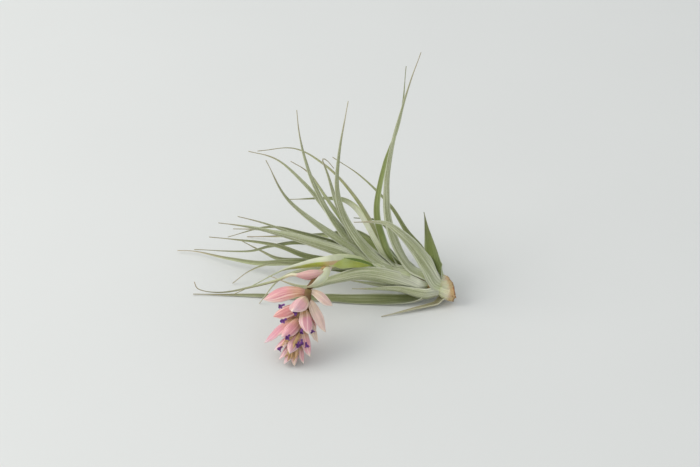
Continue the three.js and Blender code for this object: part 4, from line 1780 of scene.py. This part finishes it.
@dataclass
class FlowerHead:
    """The nodding head: its axis, its bracts and the florets that peep out between them.

    Attributes:
        bracts: The bracts.
        dry_tips: The narrow papery ones between them, low on the head.
        florets: The florets.
        top: Where the head hangs from the stalk.
        tip: Where its axis meets the floor.
        core: Distance from the top, and radius there.
        root_depth: How far from the axis a bract starts.
        bow: How much a bract bows outwards, as a share of its length.
        waist: Width of a bract's root, as a share.
        fullest: Where a bract is widest, as a share of its length.
        bluntness: How blunt its tip is.
        thickness: Thickness of a bract at its root.
        tip_thickness: Thickness of a bract at its tip.
        channel: Depth of a bract's hollow, as a share of its width.
        floret_radius: Radius of a floret's tube.
        floret_tube: Where the tube comes out from between the bracts, as a share of its length.
        petal: Length, width and spread in degrees of each of a floret's three petals.
    """

    bracts: tuple[HeadBract, ...]
    dry_tips: tuple[HeadBract, ...]
    florets: tuple[Floret, ...]
    top: Triple = (-77.6, -35.4, 33.6)
    tip: Triple = (-87.2, -58, 0)
    core: tuple[tuple[float, float], ...] = ((0, 1.7), (3, 2.2), (8, 2.8), (20, 3), (28, 2.4), (36, 0.5))
    root_depth: float = 1.2
    bow: float = 0.1
    waist: float = 0.42
    fullest: float = 0.56
    bluntness: float = 2.3
    thickness: float = 0.6
    tip_thickness: float = 0.25
    channel: float = 0.42
    floret_radius: float = 0.55
    floret_tube: float = 0.84
    petal: Triple = (2.3, 1.9, 36.0)

    def __post_init__(self) -> None:
        """Works out the head's own directions."""
        self.droop = (Vector(self.tip) - Vector(self.top)).normalized()
        self.right = (Vector((1, 0, 0)) - self.droop * self.droop.x).normalized()
        self.front = self.droop.cross(self.right)

    def line(self, part: HeadBract | Floret, bow: float, roll: float) -> tuple[list[Vector], Vector]:
        """The middle line of a bract or floret.

        Args:
            part: The bract or floret.
            bow: How much it bows outwards, as a share of its length.
            roll: Its roll about its own line, in degrees.

        Returns:
            The points of the line, and the way across at its root.
        """
        turn, lean = math.radians(part.turn), math.radians(part.spread)
        out = self.right * math.cos(turn) + self.front * math.sin(turn)
        way = self.droop * math.cos(lean) + out * math.sin(lean)

        def place(reach: float, rise: float) -> Vector:
            """A point at a reach along the way out, raised towards the head's top."""
            return Vector(self.top) + self.droop * (part.start - rise) + way * reach

        size = part.length
        points = [
            place(self.root_depth, 0),
            place(0.3 * size, 0.8 * bow * size),
            place(0.6 * size, bow * size),
            place(size, 0),
        ]
        across = Matrix.Rotation(math.radians(roll), 3, way) @ self.droop.cross(out)
        return points, across

    def _bract_spine(self, bract: HeadBract, number: int) -> Spine:
        """The spine of one bract, which is boat-shaped and pointed.

        Args:
            bract: The bract.
            number: Its number on the head.

        Returns:
            The spine.
        """
        points, across = self.line(bract, self.bow, bract.roll)

        def width(share: float) -> float:
            """The bract's width at a share of its length.

            Args:
                share: How far along the bract, from 0 to 1.

            Returns:
                The width, in millimetres.
            """
            rise = mix(self.waist, 1.0, math.sin(min(1.0, share / self.fullest) * math.pi / 2))
            past = max(0.0, (share - self.fullest) / (1 - self.fullest))
            return max(bract.width * rise * (1 - past**self.bluntness), 0.35)

        return Spine(
            points,
            across,
            width,
            lambda share: mix(self.thickness, self.tip_thickness, share),
            lambda share: self.channel * mix(1.0, 0.8, share),
            (bract.salmon, bract.papery, float(number)),
        )

    def _floret_spines(self, floret: Floret, number: int) -> list[Spine]:
        """The spines of one floret: a narrow tube, and three small petals that curl out at its mouth.

        Args:
            floret: The floret.
            number: Its number on the head.

        Returns:
            The tube's spine, and one for each petal.
        """
        points, across = self.line(floret, 0.0, 0.0)
        root, mouth = points[0].lerp(points[-1], self.floret_tube), points[-1]
        way = (mouth - root).normalized()
        size, width, spread = self.petal

        def girth(share: float) -> float:
            """The tube's width at a share of its length, wider at the mouth."""
            return 2 * self.floret_radius * (1 + 0.35 * ease(0.5, 0.95, share))

        tint = (0.2 + 0.07 * number, 0.0, float(number))
        spines = [Spine([root, root.lerp(mouth, 0.5), mouth], across, girth, girth, lambda _: 0.0, tint)]
        for k in range(3):
            out = Matrix.Rotation(2 * math.pi * (k / 3 + 0.13 * number), 3, way) @ across.normalized()
            lean = math.radians(spread * (0.7 + 0.25 * ((number + 2 * k) % 4)))
            tip = way * math.cos(lean) + out * math.sin(lean)
            first = mouth - way * 0.8 + out * 0.25
            reach = size * (0.75 + 0.15 * ((number + k) % 3))
            curl = [first, first + tip * reach * 0.55 + way * 0.25, first + tip * reach - way * 0.2]
            spines.append(
                Spine(
                    curl,
                    way.cross(out),
                    lambda share: width * max(0.3, math.sin(math.pi * mix(0.2, 0.95, share))),
                    lambda share: 0.3,
                    lambda share: 0.3,
                    (0.15 * (k + number % 3), 0.0, number + 0.4 * k),
                )
            )
        return spines

    def _core_spine(self) -> Spine:
        """The spine of the head's axis, knotted where the bracts leave it.

        Returns:
            The spine.
        """
        length = self.core[-1][0]

        def girth(share: float) -> float:
            """The axis's width at a share of its length.

            Args:
                share: How far along the axis, from 0 to 1.

            Returns:
                The width, in millimetres.
            """
            at = share * length
            pairs = zip(self.core, self.core[1:])
            (a, low), (b, high) = next((p for p in pairs if at <= p[1][0]), self.core[-2:])
            knot = 0.12 * math.sin(2 * math.pi * at / 4.5)
            return 2 * mix(low, high, (at - a) / (b - a)) * (1 + knot)

        line = [Vector(self.top) + self.droop * (length * k / 4) for k in range(5)]
        return Spine(line, self.right, girth, girth, lambda _: 0.0, (0.3, 0.1, 9.0))

    def build(self, grower: Grower) -> list[bpy.types.Object]:
        """Grows the head.

        Args:
            grower: What grows the pieces.

        Returns:
            The axis, the bracts, the papery tips and the florets, one object each.
        """
        bracts = [self._bract_spine(bract, number) for number, bract in enumerate(self.bracts, 1)]
        dry_tips = [self._bract_spine(tip, number) for number, tip in enumerate(self.dry_tips, 1)]
        florets = [
            part
            for number, floret in enumerate(self.florets, 1)
            for part in self._floret_spines(floret, number)
        ]
        axis = grower.grow(
            "flower_axis", [self._core_spine()], Sweep(rings=70, sides=28, ripple=0.4, ripple_length=8),
            AXIS_FINISH,
        )
        shell = Sweep(rings=40, sides=28, ripple=0.35, ripple_length=9, wave=0.6, seed=71)
        cups = grower.grow("flower_bracts", bracts, shell, FLOWER_BRACT_FINISH)
        crisp = Sweep(rings=40, sides=20, ripple=0.9, ripple_length=6, wave=1.2, seed=75)
        papers = grower.grow("papery_tips", dry_tips, crisp, PAPERY_TIP_FINISH)
        tubes = grower.grow(
            "violet_florets", florets,
            Sweep(rings=16, sides=12, ripple=0.25, ripple_length=4, wave=0.3, seed=81), FLORET_FINISH,
        )
        slots = ((axis, "stalk"), (cups, "flower_bract"), (papers, "flower_bract"), (tubes, "petal"))
        return [grower.hand_over(piece, "flower_head", slot) for piece, slot in slots]


HEAD_BRACTS = (
    HeadBract(1, 180, 66, 24, 9.5, -50, salmon=0.5),
    HeadBract(4, 115, 58, 16, 9.5, salmon=0.0, papery=0.3),
    HeadBract(9, 178, 58, 17.5, 8.5, -45, salmon=0.9),
    HeadBract(14, 187, 41, 25, 8, -25, salmon=0.2),
    HeadBract(15, 140, 40, 16, 9, -10, salmon=0.4),
    HeadBract(0, 0, 68, 15, 7.5, 30, papery=0.6),
    HeadBract(4, 15, 42, 21, 8.5, 20, papery=0.7),
    HeadBract(12, 350, 38, 18, 7, 20, papery=0.9),
    HeadBract(9, 58, 37, 16.5, 8.5, salmon=0.1),
    HeadBract(18, 25, 31, 18.5, 7, 10, salmon=0.1),
    HeadBract(18, 105, 24, 18, 7.5, salmon=0.2, papery=0.25),
    HeadBract(23, 180, 40, 16, 6.5, -20, salmon=0.2, papery=0.2),
    HeadBract(26, 172, 27, 15, 5.5, salmon=0.2, papery=0.3),
    HeadBract(27, 150, 17, 14.5, 5, salmon=0.2, papery=0.3),
    HeadBract(27, 50, 12, 14, 5, papery=0.55),
    HeadBract(26, 0, 26, 14, 5.5, 10, salmon=0.1, papery=0.2),
    HeadBract(3, 270, 50, 19, 8, salmon=0.3),
    HeadBract(9, 225, 46, 17, 7.5, salmon=0.5),
    HeadBract(9, 315, 44, 17, 7.5, salmon=0.2),
    HeadBract(15, 270, 38, 15, 7, salmon=0.4),
    HeadBract(20, 225, 32, 14, 6.5, salmon=0.1),
    HeadBract(20, 315, 30, 14, 6.5, salmon=0.3),
    HeadBract(25, 270, 18, 14.6, 6, salmon=0.2, papery=0.3),
)

DRY_TIPS = (
    HeadBract(19, 94, 37, 15.5, 2.6, 20, papery=1.0),
    HeadBract(18, 124, 38, 15, 2.4, -30, papery=1.0),
    HeadBract(22, 108, 29, 15.5, 2.4, 40, papery=1.0),
    HeadBract(23, 76, 27, 15, 2.4, papery=0.7),
    HeadBract(24, 132, 25, 14.5, 2.4, 30, papery=0.9),
    HeadBract(25, 96, 23, 13.5, 2.2, papery=0.8),
    HeadBract(26, 78, 20, 13, 2, 30, papery=0.7),
    HeadBract(26, 118, 21, 13.5, 2, -20, papery=0.9),
    HeadBract(21, 150, 36, 15, 2.4, 40, papery=0.6),
    HeadBract(13, 86, 40, 10, 1.8),
    HeadBract(15, 112, 38, 10, 1.6),
)

FLORETS = (
    Floret(2.8, 145, 60, 17.3),
    Floret(4.8, 110, 55, 13.4),
    Floret(9.4, 135, 55, 15.9),
    Floret(11.9, 80, 40, 13.2),
    Floret(10.4, 40, 40, 13.2),
    Floret(16.5, 120, 45, 14.1),
    Floret(17.6, 80, 35, 13.9),
    Floret(15.4, 70, 35, 14.8),
    Floret(17.8, 50, 40, 14),
    Floret(22.8, 150, 40, 14),
    Floret(12, 245, 45, 11),
    Floret(18, 300, 40, 10),
)


# ---------------------------------------------------------------------------------------------------
# Studio
# ---------------------------------------------------------------------------------------------------


@dataclass
class Studio:
    """The pale floor, the soft light and the camera.

    Attributes:
        target: What the camera looks at, in millimetres in the part's frame.
        distance: How far the camera is from it.
        elevation: How steeply the camera looks down, in degrees.
        lens: The camera's focal length.
        floor_size: Side of the floor, in metres.
        light_from: Direction of the main light from the target.
        light_distance: How far the main light is, in metres.
        light_size: Side of the main light, in metres.
        light_power: Power of the main light, in watts.
        sky: Strength of the light that comes from all round.
    """

    target: Triple = (20.1, 11.12, 31.96)
    distance: float = 909.03
    elevation: float = 35.0
    lens: float = 85.0
    floor_size: float = 12.0
    light_from: Triple = (-0.78, -0.05, 0.62)
    light_distance: float = 1.6
    light_size: float = 1.1
    light_power: float = 13.0
    sky: float = 0.74

    def build(self) -> None:
        """Adds the floor, the lights and the camera."""
        scene = bpy.context.scene
        lean = math.radians(self.elevation)
        look = Vector((0, math.cos(lean), -math.sin(lean)))
        camera = bpy.data.objects.new("camera", bpy.data.cameras.new("camera"))
        camera.data.lens = self.lens
        camera.data.clip_start = 0.01
        camera.location = (Vector(self.target) - look * self.distance) * MM
        camera.rotation_euler = (math.pi / 2 - lean, 0, 0)
        scene.collection.objects.link(camera)
        scene.camera = camera

        light = bpy.data.objects.new("window_light", bpy.data.lights.new("window_light", "AREA"))
        light.data.size = self.light_size
        light.data.energy = self.light_power
        light.data.color = (1.0, 0.985, 0.96)
        toward = Vector(self.light_from).normalized()
        light.location = Vector(self.target) * MM + toward * self.light_distance
        light.rotation_euler = toward.to_track_quat("Z", "Y").to_euler()
        scene.collection.objects.link(light)

        world = bpy.data.worlds.new("soft_sky")
        world.use_nodes = True
        world.node_tree.nodes.clear()
        maker = NodeMaker(world.node_tree)
        glow = maker.add(
            "ShaderNodeBackground", None, {"Color": (0.95, 0.975, 1.0, 1.0), "Strength": self.sky}
        )
        maker.add("ShaderNodeOutputWorld", None, {"Surface": glow}, out="none")
        scene.world = world
        scene.view_settings.view_transform = "Standard"

        half = self.floor_size / 2
        mesh = bpy.data.meshes.new("floor")
        mesh.from_pydata(
            [(-half, -half, 0), (half, -half, 0), (half, half, 0), (-half, half, 0)], [], [(0, 1, 2, 3)],
        )
        floor = bpy.data.objects.new("floor", mesh)
        scene.collection.objects.link(floor)
        mesh.materials.append(self._floor_finish())

    @staticmethod
    def _floor_finish() -> bpy.types.Material:
        """A matt pale material with very faint clouds.

        Returns:
            The material.
        """
        material = bpy.data.materials.new("pale_floor")
        material.use_nodes = True
        material.node_tree.nodes.clear()
        maker = NodeMaker(material.node_tree)
        place = maker.add("ShaderNodeTexCoord", out="Object")
        cloud = maker.noise(place, 9.0, 3.0)
        bright = 1.0 + (cloud - 0.5) * 0.03
        colour = maker.add("ShaderNodeHueSaturation", None, {"Value": bright, "Color": Pigment.FLOOR.rgba})
        shader = maker.add("ShaderNodeBsdfPrincipled", None, {"Base Color": colour, "Roughness": 0.7})
        maker.add("ShaderNodeOutputMaterial", None, {"Surface": shader}, out="none")
        return material


def main() -> None:
    """Builds the plant piece by piece."""
    logging.basicConfig(level=logging.INFO, format="%(name)s: %(message)s")
    studio = Studio()
    studio.build()
    grower = Grower()
    stem = Stem()
    pieces = stem.build(grower)
    pieces += Rosette(LEAVES).build(grower, stem)
    pieces += Stalk(STALK_BRACTS).build(grower)
    pieces += FlowerHead(HEAD_BRACTS, DRY_TIPS, FLORETS).build(grower)
    LOG.info("%d pieces, %d faces", len(pieces), sum(len(piece.data.polygons) for piece in pieces))


if __name__ == "__main__":
    main()
